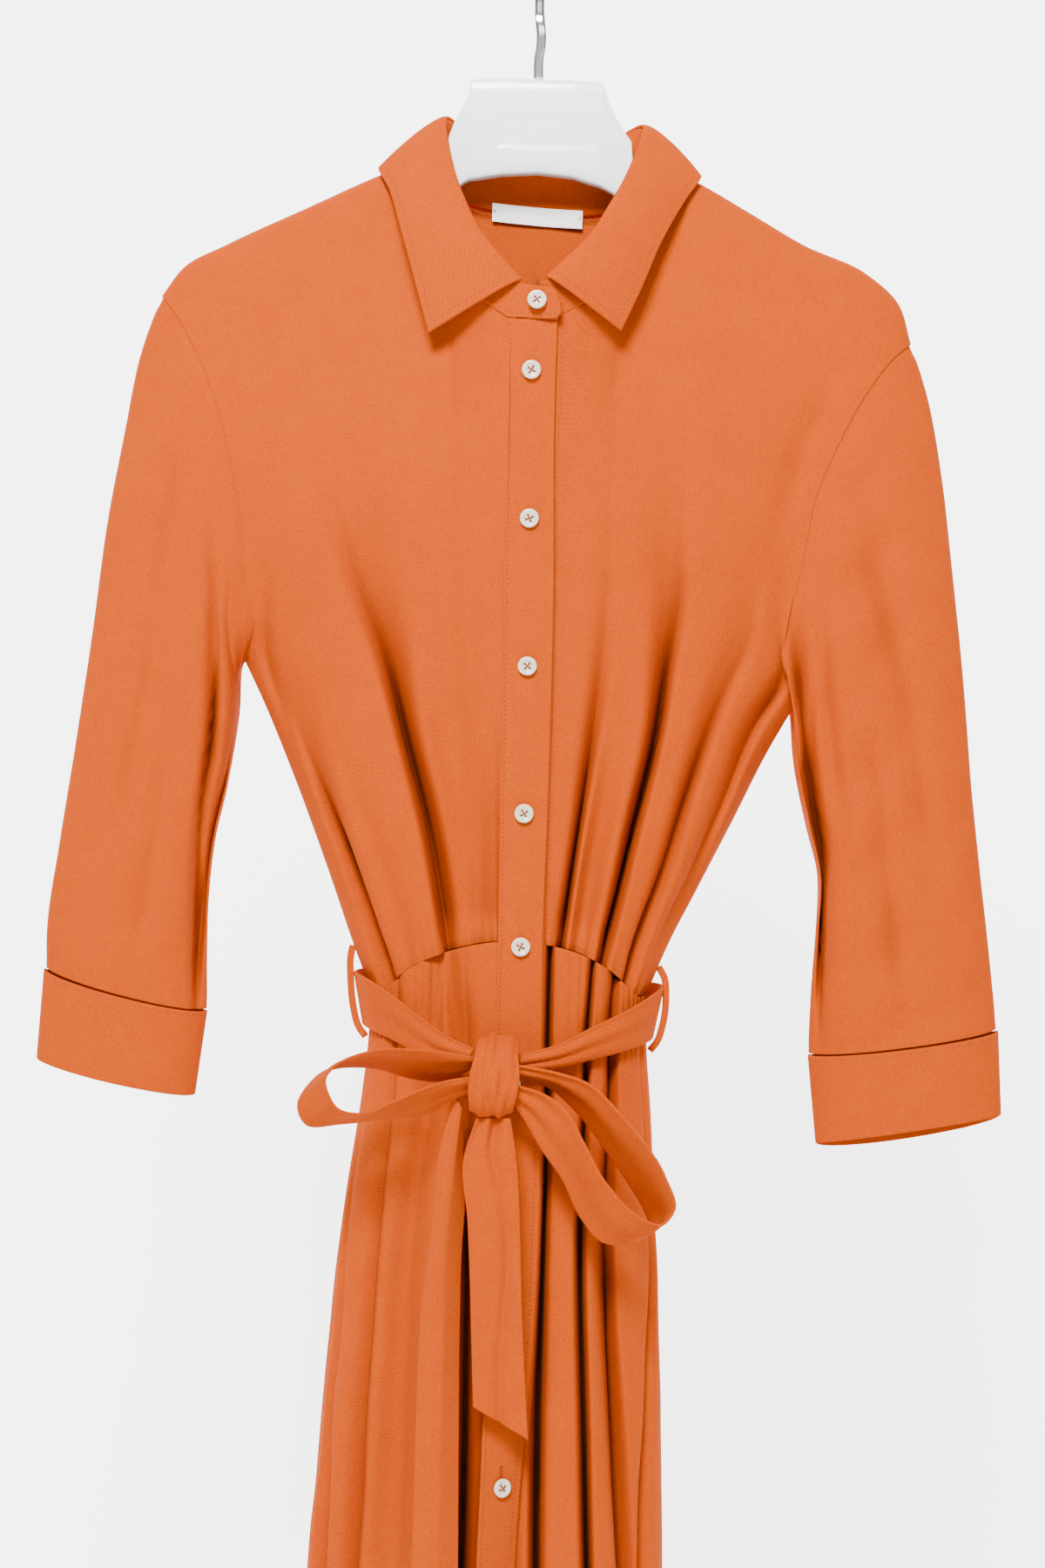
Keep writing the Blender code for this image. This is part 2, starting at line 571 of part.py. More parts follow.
def ring_angle(side, base, down, back):
    """The angle round the waist of a point above it."""
    centre = ring_at(waist_height(base[..., 0], back))[0]
    reach = np.abs(side_line(side, down, back)[..., 0] - centre)
    angle = np.arcsin(np.clip((base[..., 0] - centre) / reach, -1, 1))
    return np.pi - angle if back else angle


# ---------------------------------------------------------------- columns
def columns_between(stops, folds, count):
    """Column places that are close together at each fold and even between."""
    places = set()
    for place, half in folds:
        for share in (-1.6, -0.8, 0.0, 0.8, 1.6):
            places.add(round(place + share * half, 5))
    inside = sorted(p for p in places if stops[0] < p < stops[1])
    marks = [stops[0]] + inside + [stops[1]]
    target = (stops[1] - stops[0]) / count
    out = []
    for a, b in zip(marks[:-1], marks[1:]):
        parts = max(1, int(round((b - a) / target)))
        out.extend(a + (b - a) * k / parts for k in range(parts))
    return np.array(out + [stops[1]])


def warp(columns, folds, down, neck_column):
    """Bends the columns of a row so that each keeps to its fold's valley."""
    order = sorted(folds, key=lambda fold: fold[2])
    waist = [fold[2] for fold in order]
    here = [float(fold_place(fold, np.array(down))) for fold in order]
    share = min(1.0, down / NECK_TURN) ** 0.6
    waist.append(neck_column)
    here.append(NECK_SHARE + (neck_column - NECK_SHARE) * share)
    return np.interp(columns, [0.0] + sorted(waist) + [1.0], [0.0] + sorted(here) + [1.0])


def front_panel(side):
    folds = BODICE_FOLDS[side]
    valleys = [(fold[2], fold[6] / 75.0) for fold in folds]
    columns = columns_between((0.0, 1.0), valleys, 11)
    columns = np.sort(np.append(columns, NECK_COLUMN[side]))
    beyond = np.clip((columns - 0.8) / 0.2, 0, 1)
    columns = np.where(columns > 0.8, 0.8 + 0.2 * (1 - (1 - beyond) ** 1.5), columns)
    rows = []
    for down, neck_down in zip(BODICE_ROWS, NECK_ROWS):
        across = np.clip(warp(columns, folds, down, NECK_COLUMN[side]), 0.0, side_limit(down))
        downs = neck_down + (down - neck_down) * step(across, NECK_SHARE, NECK_SHARE * 1.35)
        rows.append(bodice_panel(side, across, downs, False))
    grid = np.array(rows)
    grid[..., 1] = np.minimum(grid[..., 1], -SIDE_GAP)
    return grid


def side_limit(down):
    """How far across a bodice panel reaches; it keeps clear of the sleeve."""
    return 1.0 - ARMHOLE_GAP * (1.0 - float(step(down, ARMHOLE_SHARE - 0.06, ARMHOLE_SHARE)))


def back_panel():
    folds = BODICE_FOLDS["back"]
    half_columns = {}
    for side, sign in (("right", -1), ("left", 1)):
        own = [(abs(fold[2]), fold[6] / 75.0) for fold in folds if fold[2] * sign > 0]
        half_columns[side] = columns_between((0.0, 1.0), own, 8)
    rows = []
    for down in BODICE_ROWS:
        row = []
        for side in ("right", "left"):
            across = np.clip(half_columns[side], 0.0, side_limit(down))
            across = across[::-1] if side == "right" else across[1:]
            row.append(bodice_panel(side, across, np.full_like(across, down), True))
        rows.append(np.concatenate(row))
    grid = np.array(rows)
    grid[..., 1] = np.maximum(grid[..., 1], SIDE_GAP)
    return grid


# ---------------------------------------------------------------- the skirt
SIDE_ANGLE = math.pi / 2


def skirt_fold(fold, down):
    """A skirt fold's angle, half width and depth at shares of the length."""
    share = step(down, 0.0, 0.75)
    place = smooth((0.0, FOLD_KNEE, 1.0), fold[:3], down)
    half = fold[5] + (fold[6] - fold[5]) * share
    depth = fold[3] + (fold[4] - fold[3]) * share
    return np.radians(place), np.radians(half), depth


def skirt_surface(piece, angle, down):
    """A point of the skirt: angle round the body, down 0 waist to 1 hem."""
    back = piece == "back"
    plain_x = ring_point(angle, np.full_like(angle, -620.0))[0]
    start = waist_height(plain_x, back)
    z = start + (HEM_Z - start) * down
    x, y = ring_point(angle, z)
    press = np.zeros_like(x)
    for fold in SKIRT_FOLDS[piece]:
        place, half, depth = skirt_fold(fold, down)
        press = press + depth * np.exp(-((angle - place) / half) ** 2)
    if not back:
        inner_x, inner_y = front_edge(piece, z)
        centre, half_width = ring_at(z)[:2]
        edge_angle = np.arcsin(np.clip((inner_x - centre) / half_width, -1, 1))
        ring_edge = ring_point(edge_angle, z)[1]
        near = np.clip(1 - np.abs(angle - edge_angle) / math.radians(22), 0, 1) ** 2
        y = y + (inner_y - ring_edge) * near
        press = press * (1 - np.clip(1 - np.abs(angle - edge_angle) / math.radians(3), 0, 1))
    fade = step(np.abs(np.abs(np.arcsin(np.sin(angle))) - SIDE_ANGLE), 0.0, math.radians(9))
    inward = ring_inward(angle, z)
    return np.stack((x, y, z), axis=-1) + inward * (press * fade)[..., None]


def skirt_stops(piece, down):
    """The angles of a skirt panel's two side edges."""
    if piece == "back":
        return SIDE_ANGLE, 3 * SIDE_ANGLE
    z = -600.0 + (HEM_Z + 600.0) * down
    centre, half = ring_at(z)[:2]
    inner = math.asin((float(front_edge(piece, z)[0]) - float(centre)) / float(half))
    return (-SIDE_ANGLE, inner) if piece == "right" else (inner, SIDE_ANGLE)


def skirt_panel(piece):
    gap = SEAM_GAP / 90
    angles = []
    for down in SKIRT_ROWS:
        stops = skirt_stops(piece, down)
        valleys = [skirt_fold(fold, np.array(down))[:2] for fold in SKIRT_FOLDS[piece]]
        angles.append(fold_columns((stops[0] + gap, stops[1] - gap), valleys, 14 if piece == "back" else 8))
    angles = np.array(angles, float)
    downs = np.repeat(np.array(SKIRT_ROWS)[:, None], angles.shape[1], axis=1)
    return skirt_surface(piece, angles, downs)


def fold_columns(stops, places, spare):
    """Five columns for each fold and spare ones shared out between them."""
    marks = [stops[0]]
    for place, half in sorted(places):
        marks.extend(place + k * half for k in (-1.5, -0.75, 0.0, 0.75, 1.5))
    marks.append(stops[1])
    marks = np.clip(np.maximum.accumulate(marks), stops[0], stops[1])
    spans = [(0, 1)] + [(5 * k, 5 * k + 1) for k in range(1, len(places) + 1)]
    extra = max(1, spare // len(spans))
    out = []
    for index in range(len(marks) - 1):
        out.append(marks[index])
        if any(index == a for a, _ in spans):
            a, b = marks[index], marks[index + 1]
            out.extend(a + (b - a) * k / (extra + 1) for k in range(1, extra + 1))
    out.append(marks[-1])
    return out


# ---------------------------------------------------------------- sleeves
def cuff_ring(side, turn, level):
    """The cuff's ring; turn 0 outer edge, pi inner edge; level 0 top, 1 bottom."""
    rows = np.asarray(CUFF_RINGS[side], float)
    ring = np.moveaxis(smooth((0.0, 1.0), rows, level), -1, 0)
    outer_x, outer_z, inner_x, inner_z, front_drop, back_drop, depth = ring
    across = (1 - np.cos(turn)) / 2
    front = np.sin(turn) >= 0
    drop = np.where(front, front_drop, back_drop) * np.abs(np.sin(turn))
    x = outer_x + (inner_x - outer_x) * across
    z = outer_z + (inner_z - outer_z) * across - drop
    y = SLEEVE_DEPTH[-1][1] - depth * np.sin(turn)
    return np.stack((x, y, z), axis=-1)


def sleeve_surface(side, turn, down):
    """A point of the sleeve; turn 0 outer edge, pi inner edge, front first."""
    across = (1 - np.cos(turn)) / 2
    top = along(ARMHOLE[side], across)
    bottom = cuff_ring(side, turn, np.zeros_like(turn))[..., [0, 2]]
    bottom[..., 1] += SEAM_GAP
    outer = along(SLEEVE_OUTER[side], down)
    inner = along(SLEEVE_INNER[side], down)
    a, b = across[..., None], down[..., None]
    corners = ((1 - b) * ((1 - a) * np.array(SLEEVE_OUTER[side][0]) + a * np.array(SLEEVE_INNER[side][0]))
               + b * ((1 - a) * cuff_corner(side, 0.0) + a * cuff_corner(side, math.pi)))
    flat = (1 - b) * top + b * bottom + (1 - a) * outer + a * inner - corners
    depth, middle = np.moveaxis(smooth((0.0, 0.33, 0.67, 1.0), SLEEVE_DEPTH, down), -1, 0)
    front = np.sin(turn) >= 0
    press = np.zeros_like(across)
    for face, sign in (("front", 1.0), ("back", -1.0)):
        for start, end, first, last, full, half in SLEEVE_FOLDS[side][face]:
            place = start + (end - start) * down
            grown = step(down, first, first + 0.25) * (1 - step(down, last - 0.2, last + 0.05))
            shape = full * grown * np.exp(-((across - place) / half) ** 2) * np.abs(np.sin(turn)) ** 0.5
            press = press + np.where(front == (face == "front"), sign * shape, 0.0)
    y = middle - depth * np.sin(turn) + press
    sign = 1.0 if side == "left" else -1.0
    x = flat[..., 0] + sign * ARMHOLE_STEP * (1 + 1.3 * across**2) * (1 - step(down, 0.0, 0.08))
    return np.stack((x, y, flat[..., 1]), axis=-1)


def cuff_corner(side, turn):
    point = cuff_ring(side, np.array([turn]), np.array([0.0]))[0, [0, 2]]
    return point + np.array((0.0, SEAM_GAP))


def add_sleeve(side):
    turns = (np.arange(22) + 0.5) / 22 * 2 * math.pi
    downs = np.array((0.0035, 0.04, 0.1, 0.18, 0.27, 0.36, 0.46, 0.56, 0.66, 0.76, 0.85, 0.93, 1.0))
    turn, down = np.meshgrid(turns, downs)
    add_wall("sleeve_" + side, sleeve_surface(side, turn, down), CLOTH, ring=True)
    turn, level = np.meshgrid(turns, np.array((0.0, 0.35, 0.7, 1.0)))
    add_wall("cuff_" + side, cuff_ring(side, turn, level), DOUBLE, ring=True)


# ---------------------------------------------------------------- the collar
def collar_rows():
    right = np.asarray(COLLAR_SECTIONS["right"], float)
    left = np.asarray(COLLAR_SECTIONS["left"], float)[::-1]
    return np.concatenate((right, left[1:]))


def collar_at(share):
    """Seam, roll line and outer edge; share 0 right front, 1 left front."""
    rows = collar_rows()
    gaps = np.linalg.norm(np.diff(rows[:, :3], axis=0), axis=1)
    knots = np.concatenate(([0.0], np.cumsum(gaps)))
    found = smooth(knots / knots[-1], rows, share)
    return found[..., 0:3], found[..., 3:6], found[..., 6:9]


def stand_grid():
    shares = np.linspace(0.0, 1.0, COLLAR_COLUMNS)
    seam, roll, _ = collar_at(shares)
    rise = unit(roll - seam)
    clear = STAND_LIFT[0] + (STAND_LIFT[1] - STAND_LIFT[0]) * step(seam[:, 1:2], -45.0, -25.0)
    seam = seam + rise * clear
    roll = roll - rise * STAND_DROP
    first, last = (np.asarray(end, float) for end in STAND_ENDS)
    low = np.concatenate((first[:, :3], seam, last[:, :3]))
    high = np.concatenate((first[:, 3:], roll, last[:, 3:]))
    return np.array([low, (low + high) / 2, high])


def panel_points(side, back):
    """Points of a plain panel's upper part, to lay the collar on."""
    across, down = np.meshgrid(np.linspace(0.0, 1.0, 60), np.linspace(0.0, 0.4, 60))
    return bodice_base(side, across, down, back).reshape(-1, 3)


def laid_on_panels(grid):
    """Moves a collar's points out to where they clear the front and back."""
    for side, sign in (("right", -1), ("left", 1)):
        for back, face in ((False, -1), (True, 1)):
            cloud = panel_points(side, back)
            for point in grid.reshape(-1, 3):
                if point[0] * sign < 0 or point[1] * face < 0:
                    continue
                apart = (cloud[:, 0] - point[0])**2 + (cloud[:, 2] - point[2])**2
                near = cloud[np.argmin(apart)]
                if apart.min() < 40.0:
                    point[1] = face * max(point[1] * face, near[1] * face + COLLAR_CLEAR)
    return grid


def fall_grid(count, levels):
    """The turned-down collar, from the roll line to its outer edge."""
    seam, roll, edge = collar_at(np.linspace(0.0, 1.0, count))
    rise = unit(roll - seam)
    away = edge - roll
    outward = unit((roll - np.array((NECK_CENTRE, 0.0, 0.0))) * np.array((1.0, 1.0, 0.0)))
    first = roll + rise * ROLL_RISE + outward * ROLL_OUT
    second = roll + away * 0.5 + outward * ROLL_OUT * 1.4
    rows = []
    for v in np.linspace(0.0, 1.0, levels):
        near = roll * (1 - v)**3 + first * 3 * v * (1 - v)**2
        rows.append(near + second * 3 * v**2 * (1 - v) + edge * v**3)
    grid = np.array(rows)
    grid[2:] = laid_on_panels(grid[2:].copy())
    return grid


# ---------------------------------------------------------------- the front bands
def band_point(share, z):
    """The button band's middle surface; share 0 at its seam, 1 free edge."""
    seam_x, seam_y, free_x, free_y = np.moveaxis(by_height(FRONT_EDGE, z), -1, 0)
    x = seam_x + SEAM_GAP / 2 + (free_x - seam_x) * share
    y = seam_y + (free_y - seam_y) * share - (DOUBLE - CLOTH) / 2
    return x, y - BAND_CROWN * np.sin(math.pi * share)


def add_bands():
    heights = np.concatenate((np.linspace(BAND_TOP, -600, 11), np.linspace(-640, HEM_Z, 13)))
    share, z = np.meshgrid(np.linspace(0, 1, 4), heights)
    x, y = band_point(share, z)
    add_wall("button_band", np.stack((x, y, z), axis=-1), DOUBLE)
    share, z = np.meshgrid(np.linspace(0.12, 1.0, 4), heights)
    x, y = band_point(share, z)
    behind = np.stack((x + 0.3 * share, y + UNDER_STEP, z), axis=-1)
    add_wall("under_band", behind, DOUBLE)


def add_button(name, centre, normal):
    """A turned disc with a dished face."""
    across = unit(np.cross(normal, np.array((0.0, 0.0, 1.0))))
    upright = np.cross(across, normal)
    sections = []
    for radius, out in ((0.5, 0.22), (0.76, 0.5), (1.0, 0.1), (0.86, -0.5)):
        ring = []
        for k in range(BUTTON_SIDES):
            turn = 2 * math.pi * k / BUTTON_SIDES
            reach = radius * BUTTON_RADIUS
            ring.append(centre + across * reach * math.cos(turn) + upright * reach * math.sin(turn)
                        + normal * out * BUTTON_THICKNESS)
        sections.append(ring)
    add_loft(name, sections, "shell")


def add_buttons():
    for index, z in enumerate(BUTTON_HEIGHTS):
        if index == 0:
            surface = np.array((STAND_BUTTON[0], STAND_BUTTON[1], z))
            normal = unit(np.array(STAND_FACING))
        else:
            seam_x, seam_y, free_x, free_y = by_height(FRONT_EDGE, np.array(float(z)))
            x, y = band_point(0.5, np.array(float(z)))
            surface = np.array((float(x), float(y), z))
            normal = unit(np.array((free_y - seam_y, -(free_x - seam_x), 0.0)))
        centre = surface + normal * (DOUBLE / 2 + BUTTON_GAP + BUTTON_THICKNESS / 2)
        add_button("button_%02d" % (index + 1), centre, normal)


# ---------------------------------------------------------------- the belt
def add_belt():
    rows = along(BELT_WAIST, np.linspace(0, 1, 37))
    middle, width = rows[:, :3], rows[:, 3]
    heading = unit(np.gradient(middle, axis=0))
    out = unit(np.cross(heading, np.array((0.0, 0.0, 1.0))))
    out = out * np.sign((out * middle * np.array((1, 1, 0))).sum(axis=1))[:, None]
    crown = np.clip((31.0 - width) * 0.12, 0, 2.5)
    lean = rows[:, 4]
    grid = []
    for level in (0.5, 0.0, -0.5):
        lift = out * (crown * (level == 0.0) + lean * level)[:, None]
        grid.append(middle + lift + np.array((0.0, 0.0, 1.0)) * (width * level)[:, None])
    add_wall("belt_waist", grid, DOUBLE)
    for name, rows, count in (("belt_loop_right", LOOP_RIGHT, 27), ("belt_loop_left", LOOP_LEFT, 30),
                              ("belt_end_wide", TAIL_WIDE, 10)):
        edges = along(rows, np.linspace(0, 1, count))
        near, far = edges[:, :3], edges[:, 3:]
        add_wall(name, [near, (near + far) / 2, far], DOUBLE)
    edges = along(TAIL_LONG, np.linspace(0, 1, 13))
    outer, crease, inner = edges[:, :3], edges[:, 3:6], edges[:, 6:]
    add_wall("belt_end_long", [outer, (outer + crease) / 2, crease, (crease + inner) / 2, inner], DOUBLE)
    loop = np.asarray(KNOT_LOOP, float)
    centre = loop.mean(axis=0)
    grid = []
    for share in (0.0, 0.18, 0.5, 0.82, 1.0):
        x = KNOT_REACH[0] + (KNOT_REACH[1] - KNOT_REACH[0]) * share
        bulge = 0.93 + 0.07 * math.sin(math.pi * share)
        ring = centre + (closed_curve(loop, 14) - centre) * bulge
        grid.append([(x, y, z) for y, z in ring])
    add_wall("belt_knot", grid, DOUBLE, ring=True)


def closed_curve(loop, count):
    wrapped = np.concatenate((loop[-2:], loop, loop[:3]))
    knots = np.arange(len(wrapped), dtype=float) - 2
    return smooth(knots, wrapped, np.arange(count) * len(loop) / count)


def add_carriers():
    half = CARRIER_WIDTH / 2
    for side, rows in CARRIERS.items():
        path = along(rows, np.linspace(0, 1, 12))
        across = half * np.cross(unit(np.gradient(path, axis=0)), np.array((0.0, 1.0, 0.0)))
        add_wall("belt_carrier_" + side, [path - across, path, path + across], DOUBLE)


# ---------------------------------------------------------------- the rest
def add_label():
    x = np.linspace(LABEL_REACH[0], LABEL_REACH[1], 5)
    grid = []
    for level in (0.0, 1.0):
        z = LABEL_TOP - LABEL_HEIGHT * level - 0.03 * (x - LABEL_REACH[0])
        y = LABEL_Y - LABEL_BEND * ((x - 2.0) / 27.0) ** 2
        grid.append(np.stack((x, y, z), axis=-1))
    add_wall("label", grid, LABEL_THICKNESS, "label")


def squircle(middle, half_height, half_depth, x):
    """A rounded section of the hanger in the plane x."""
    ring = []
    for k in range(12):
        turn = 2 * math.pi * (k + 0.5) / 12
        c, s = math.cos(turn), math.sin(turn)
        scale = (abs(c) ** 2.6 + abs(s) ** 2.6) ** (-1 / 2.6)
        ring.append((x, half_depth * scale * c, middle + half_height * scale * s))
    return ring


def add_hanger():
    sections = [(x, (top + bottom) / 2, (top - bottom) / 2, half) for x, top, bottom, half in HANGER_BLOCK]
    for side, sign in (("right", -1), ("left", 1)):
        shoulder = np.asarray(SHOULDER[side], float)
        for out, height, half in HANGER_ARM:
            top = float(np.interp(out, np.abs(shoulder[:, 0]), shoulder[:, 2])) - SHOULDER_SEAT
            sections.append((sign * out, top - height / 2, height / 2, half))
    sections.sort()
    add_loft("hanger_body", [squircle(middle, high, half, x) for x, middle, high, half in sections], "hanger")


def add_hook():
    path = list(along(HOOK_SHAFT, np.linspace(0, 1, 9)))
    middle = HOOK_RADIUS + HOOK_BAR / 2
    for angle in np.linspace(HOOK_ARC[0], HOOK_ARC[1], 16):
        turn = math.radians(angle)
        path.append(np.array((0.0, middle * math.cos(turn), -HOOK_RADIUS + middle * math.sin(turn))))
    path = np.array(path)
    heading = unit(np.gradient(path, axis=0))
    across = np.array((1.0, 0.0, 0.0))
    sections = []
    for point, ahead in zip(path, heading):
        out = unit(np.cross(ahead, across))
        w, t = HOOK_WIDTH / 2, HOOK_BAR / 2
        corner = 0.7
        ring = [(-w, -t + corner), (-w + corner, -t), (w - corner, -t), (w, -t + corner),
                (w, t - corner), (w - corner, t), (-w + corner, t), (-w, t - corner)]
        sections.append([point + across * a + out * b for a, b in ring])
    add_loft("hanger_hook", sections, "chrome")


def build():
    for thing in list(bpy.data.objects):
        bpy.data.objects.remove(thing, do_unlink=True)
    for side in ("right", "left"):
        add_wall("bodice_front_" + side, front_panel(side), CLOTH)
        add_wall("skirt_front_" + side, skirt_panel(side), CLOTH)
        add_sleeve(side)
    add_wall("bodice_back", back_panel(), CLOTH)
    add_wall("skirt_back", skirt_panel("back"), CLOTH)
    add_wall("collar_stand", stand_grid(), DOUBLE)
    add_wall("collar_fall", fall_grid(COLLAR_COLUMNS, 6), DOUBLE)
    add_bands()
    add_buttons()
    add_belt()
    add_carriers()
    add_label()
    add_hanger()
    add_hook()


build()
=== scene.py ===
import math

import bpy
import numpy as np
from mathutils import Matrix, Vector


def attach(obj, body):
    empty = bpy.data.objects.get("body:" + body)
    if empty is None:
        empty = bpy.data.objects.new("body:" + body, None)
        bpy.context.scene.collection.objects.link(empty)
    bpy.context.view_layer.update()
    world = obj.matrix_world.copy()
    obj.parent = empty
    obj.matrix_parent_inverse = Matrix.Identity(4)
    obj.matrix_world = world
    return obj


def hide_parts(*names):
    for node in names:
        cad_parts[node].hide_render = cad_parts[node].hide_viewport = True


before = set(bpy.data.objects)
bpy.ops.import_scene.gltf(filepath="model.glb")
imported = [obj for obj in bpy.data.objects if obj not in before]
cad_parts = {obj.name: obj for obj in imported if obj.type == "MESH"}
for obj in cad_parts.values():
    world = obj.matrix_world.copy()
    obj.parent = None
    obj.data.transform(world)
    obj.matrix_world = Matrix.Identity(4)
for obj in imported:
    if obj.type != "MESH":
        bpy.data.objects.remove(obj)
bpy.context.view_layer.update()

mm = 0.001


# curves and grids, in millimetres

def rise(value, low, high):
    share = np.clip((np.asarray(value, float) - low) / (high - low), 0.0, 1.0)
    return share * share * (3.0 - 2.0 * share)


def smoothCurve(knots, rows, places):
    knots = np.asarray(knots, float)
    rows = np.asarray(rows, float)
    if rows.ndim == 1:
        return smoothCurve(knots, rows[:, None], places)[..., 0]
    slopes = np.gradient(rows, knots, axis=0)
    places = np.clip(np.asarray(places, float), knots[0], knots[-1])
    index = np.clip(np.searchsorted(knots, places, side="right") - 1, 0, len(knots) - 2)
    width = (knots[index + 1] - knots[index])[..., None]
    u = (places - knots[index])[..., None] / width
    start, end = rows[index], rows[index + 1]
    curve = (2 * u**3 - 3 * u**2 + 1) * start + (u**3 - 2 * u**2 + u) * width * slopes[index]
    return curve + (3 * u**2 - 2 * u**3) * end + (u**3 - u**2) * width * slopes[index + 1]


def along(rows, share):
    rows = np.asarray(rows, float)
    gaps = np.linalg.norm(np.diff(rows, axis=0), axis=1)
    knots = np.concatenate(([0.0], np.cumsum(gaps)))
    return smoothCurve(knots / knots[-1], rows, share)


def byHeight(rows, z):
    table = np.asarray(rows, float)
    return smoothCurve(-table[:, 0], table[:, 1:], -np.asarray(z, float))


def unit(vectors):
    return vectors / np.maximum(np.linalg.norm(vectors, axis=-1, keepdims=True), 1e-9)


def gridNormals(grid, ring):
    if ring:
        padded = np.concatenate((grid[:, -2:-1], grid, grid[:, 1:2]), axis=1)
        across = np.gradient(padded, axis=1)[:, 1:-1]
    else:
        across = np.gradient(grid, axis=1)
    normals = unit(np.cross(across, np.gradient(grid, axis=0)))
    return normals


# where a table gives rows of (place down, place across), this reads across at any place down
def pathAt(path, down):
    points = np.asarray(path, float)
    return smoothCurve(points[:, 0], points[:, 1], down)


# one crease: path of (down, across), then depths and widths at its start and end
def crease(across, down, scale, path, start, full, deep, wide, lean=1.0, power=1.5, stop=None):
    place = pathAt(path, down)
    grown = rise(down, start, full) ** power
    if stop:
        grown = grown * (1 - rise(down, stop[0], stop[1]))
    half = wide[0] + (wide[1] - wide[0]) * rise(down, start, full)
    off = (across - place) * scale
    half = np.where(off > 0, half / lean, half * lean)
    return (deep[0] + (deep[1] - deep[0]) * rise(down, start, 1.0)) * grown * np.exp(-(off / half) ** 2)


# gentle unevenness of hanging cloth
def ripple(points, seed, size, reach):
    rng = np.random.default_rng(seed)
    total = np.zeros(points.shape[:-1])
    for _ in range(7):
        way = rng.normal(size=3) * np.array((1.0, 0.6, 0.5))
        way = way / np.linalg.norm(way) * 2 * math.pi / (size * rng.uniform(0.6, 1.7))
        total += np.sin(points @ way + rng.uniform(0, 6.28))
    return total * reach / 2.6


# shader maths

class Value:
    def __init__(self, tree, socket):
        self.tree = tree
        self.socket = socket

    def put(self, slot, value):
        if isinstance(value, Value):
            self.tree.links.new(value.socket, slot)
        else:
            slot.default_value = value

    def maths(self, kind, *values):
        node = self.tree.nodes.new("ShaderNodeMath")
        node.operation = kind
        for slot, value in zip(node.inputs, values):
            self.put(slot, value)
        return Value(self.tree, node.outputs[0])

    def add(self, kind, out, inputs, **settings):
        node = self.tree.nodes.new(kind)
        for name, value in settings.items():
            setattr(node, name, value)
        for name, value in inputs.items():
            self.put(node.inputs[name], value)
        return Value(self.tree, node.outputs[out])

    def __add__(self, other):
        return self.maths("ADD", self, other)

    def __radd__(self, other):
        return self.maths("ADD", other, self)

    def __sub__(self, other):
        return self.maths("SUBTRACT", self, other)

    def __mul__(self, other):
        return self.maths("MULTIPLY", self, other)

    def __rmul__(self, other):
        return self.maths("MULTIPLY", other, self)

    def __truediv__(self, other):
        return self.maths("DIVIDE", self, other)

    def sine(self):
        return self.maths("SINE", self)

    def clamp(self):
        node = self.add("ShaderNodeClamp", 0, {"Value": self})
        return node

    def mix(self, low, high):
        node = self.tree.nodes.new("ShaderNodeMix")
        node.data_type = "RGBA"
        self.put(node.inputs[0], self)
        self.put(node.inputs[6], low)
        self.put(node.inputs[7], high)
        return Value(self.tree, node.outputs[2])


def newMaterial(name, constants):
    material = bpy.data.materials.new(name)
    material.use_nodes = True
    shader = material.node_tree.nodes["Principled BSDF"]
    for slot, value in constants.items():
        shader.inputs[slot].default_value = value
    return material, material.node_tree, shader


jersey = {
    "lit": (0.41, 0.0545, 0.0004, 1.0),
    "deep": (0.27, 0.031, 0.0003, 1.0),
    # painted shade: the near-black colour that the base colour is mixed towards in deep folds
    "foldShadeColour": (0.045, 0.004, 0.0002, 1.0),
    "foldShadeShare": 0.9, "foldColumns": 22, "foldFrom": 0.5, "foldDeep": 5.5,
    "twill": 0.0021,
    "twillDepth": 0.00012,
    "grain": 900.0,
    "cloud": 55.0,
}


def clothMaterial(name, lit, deep):
    material, tree, shader = newMaterial(name, {
        "Roughness": 0.9, "Sheen Weight": 0.02, "Sheen Roughness": 0.4,
        "Sheen Tint": (1.0, 0.35, 0.1, 1.0), "Specular IOR Level": 0.04})
    start = Value(tree, None)
    uv = start.add("ShaderNodeTexCoord", "UV", {})
    place = start.add("ShaderNodeTexCoord", "Object", {})
    split = start.add("ShaderNodeSeparateXYZ", 0, {"Vector": uv})
    u = split
    v = Value(tree, split.socket.node.outputs[1])
    cloud = start.add("ShaderNodeTexNoise", 0, {"Vector": place, "Scale": jersey["cloud"], "Detail": 3.0})
    grain = start.add("ShaderNodeTexNoise", 0, {"Vector": place, "Scale": jersey["grain"], "Detail": 2.0})
    turn = 2 * math.pi / jersey["twill"]
    ribs = ((u * 0.5 + v) * turn).sine() * 0.5 + 0.5
    threads = ((u - v * 0.35) * (turn * 1.4)).sine() * 0.5 + 0.5
    # the fold attribute is painted shade, largest where the cloth lies deepest in a fold
    fold = start.add("ShaderNodeAttribute", 2, {}, attribute_name="fold")
    tone = (0.64 + (cloud - 0.5) * 0.28 + (grain - 0.5) * 1.3 + (ribs - 0.5) * 0.16).clamp()
    # the base colour darkens towards the painted shade colour in deep folds
    cloth = (fold * jersey["foldShadeShare"]).clamp().mix(tone.mix(deep, lit), jersey["foldShadeColour"])
    tree.links.new(cloth.socket, shader.inputs["Base Color"])
    height = ribs * 0.5 + threads * 0.25 + grain * 0.6
    bump = start.add("ShaderNodeBump", 0, {"Strength": 0.55, "Distance": jersey["twillDepth"],
                                           "Height": height})
    tree.links.new(bump.socket, shader.inputs["Normal"])
    return material


def plainMaterial(name, low, high, scale, constants):
    material, tree, shader = newMaterial(name, constants)
    start = Value(tree, None)
    place = start.add("ShaderNodeTexCoord", "Object", {})
    noise = start.add("ShaderNodeTexNoise", 0, {"Vector": place, "Scale": scale, "Detail": 3.0})
    tree.links.new(noise.mix(low, high).socket, shader.inputs["Base Color"])
    return material


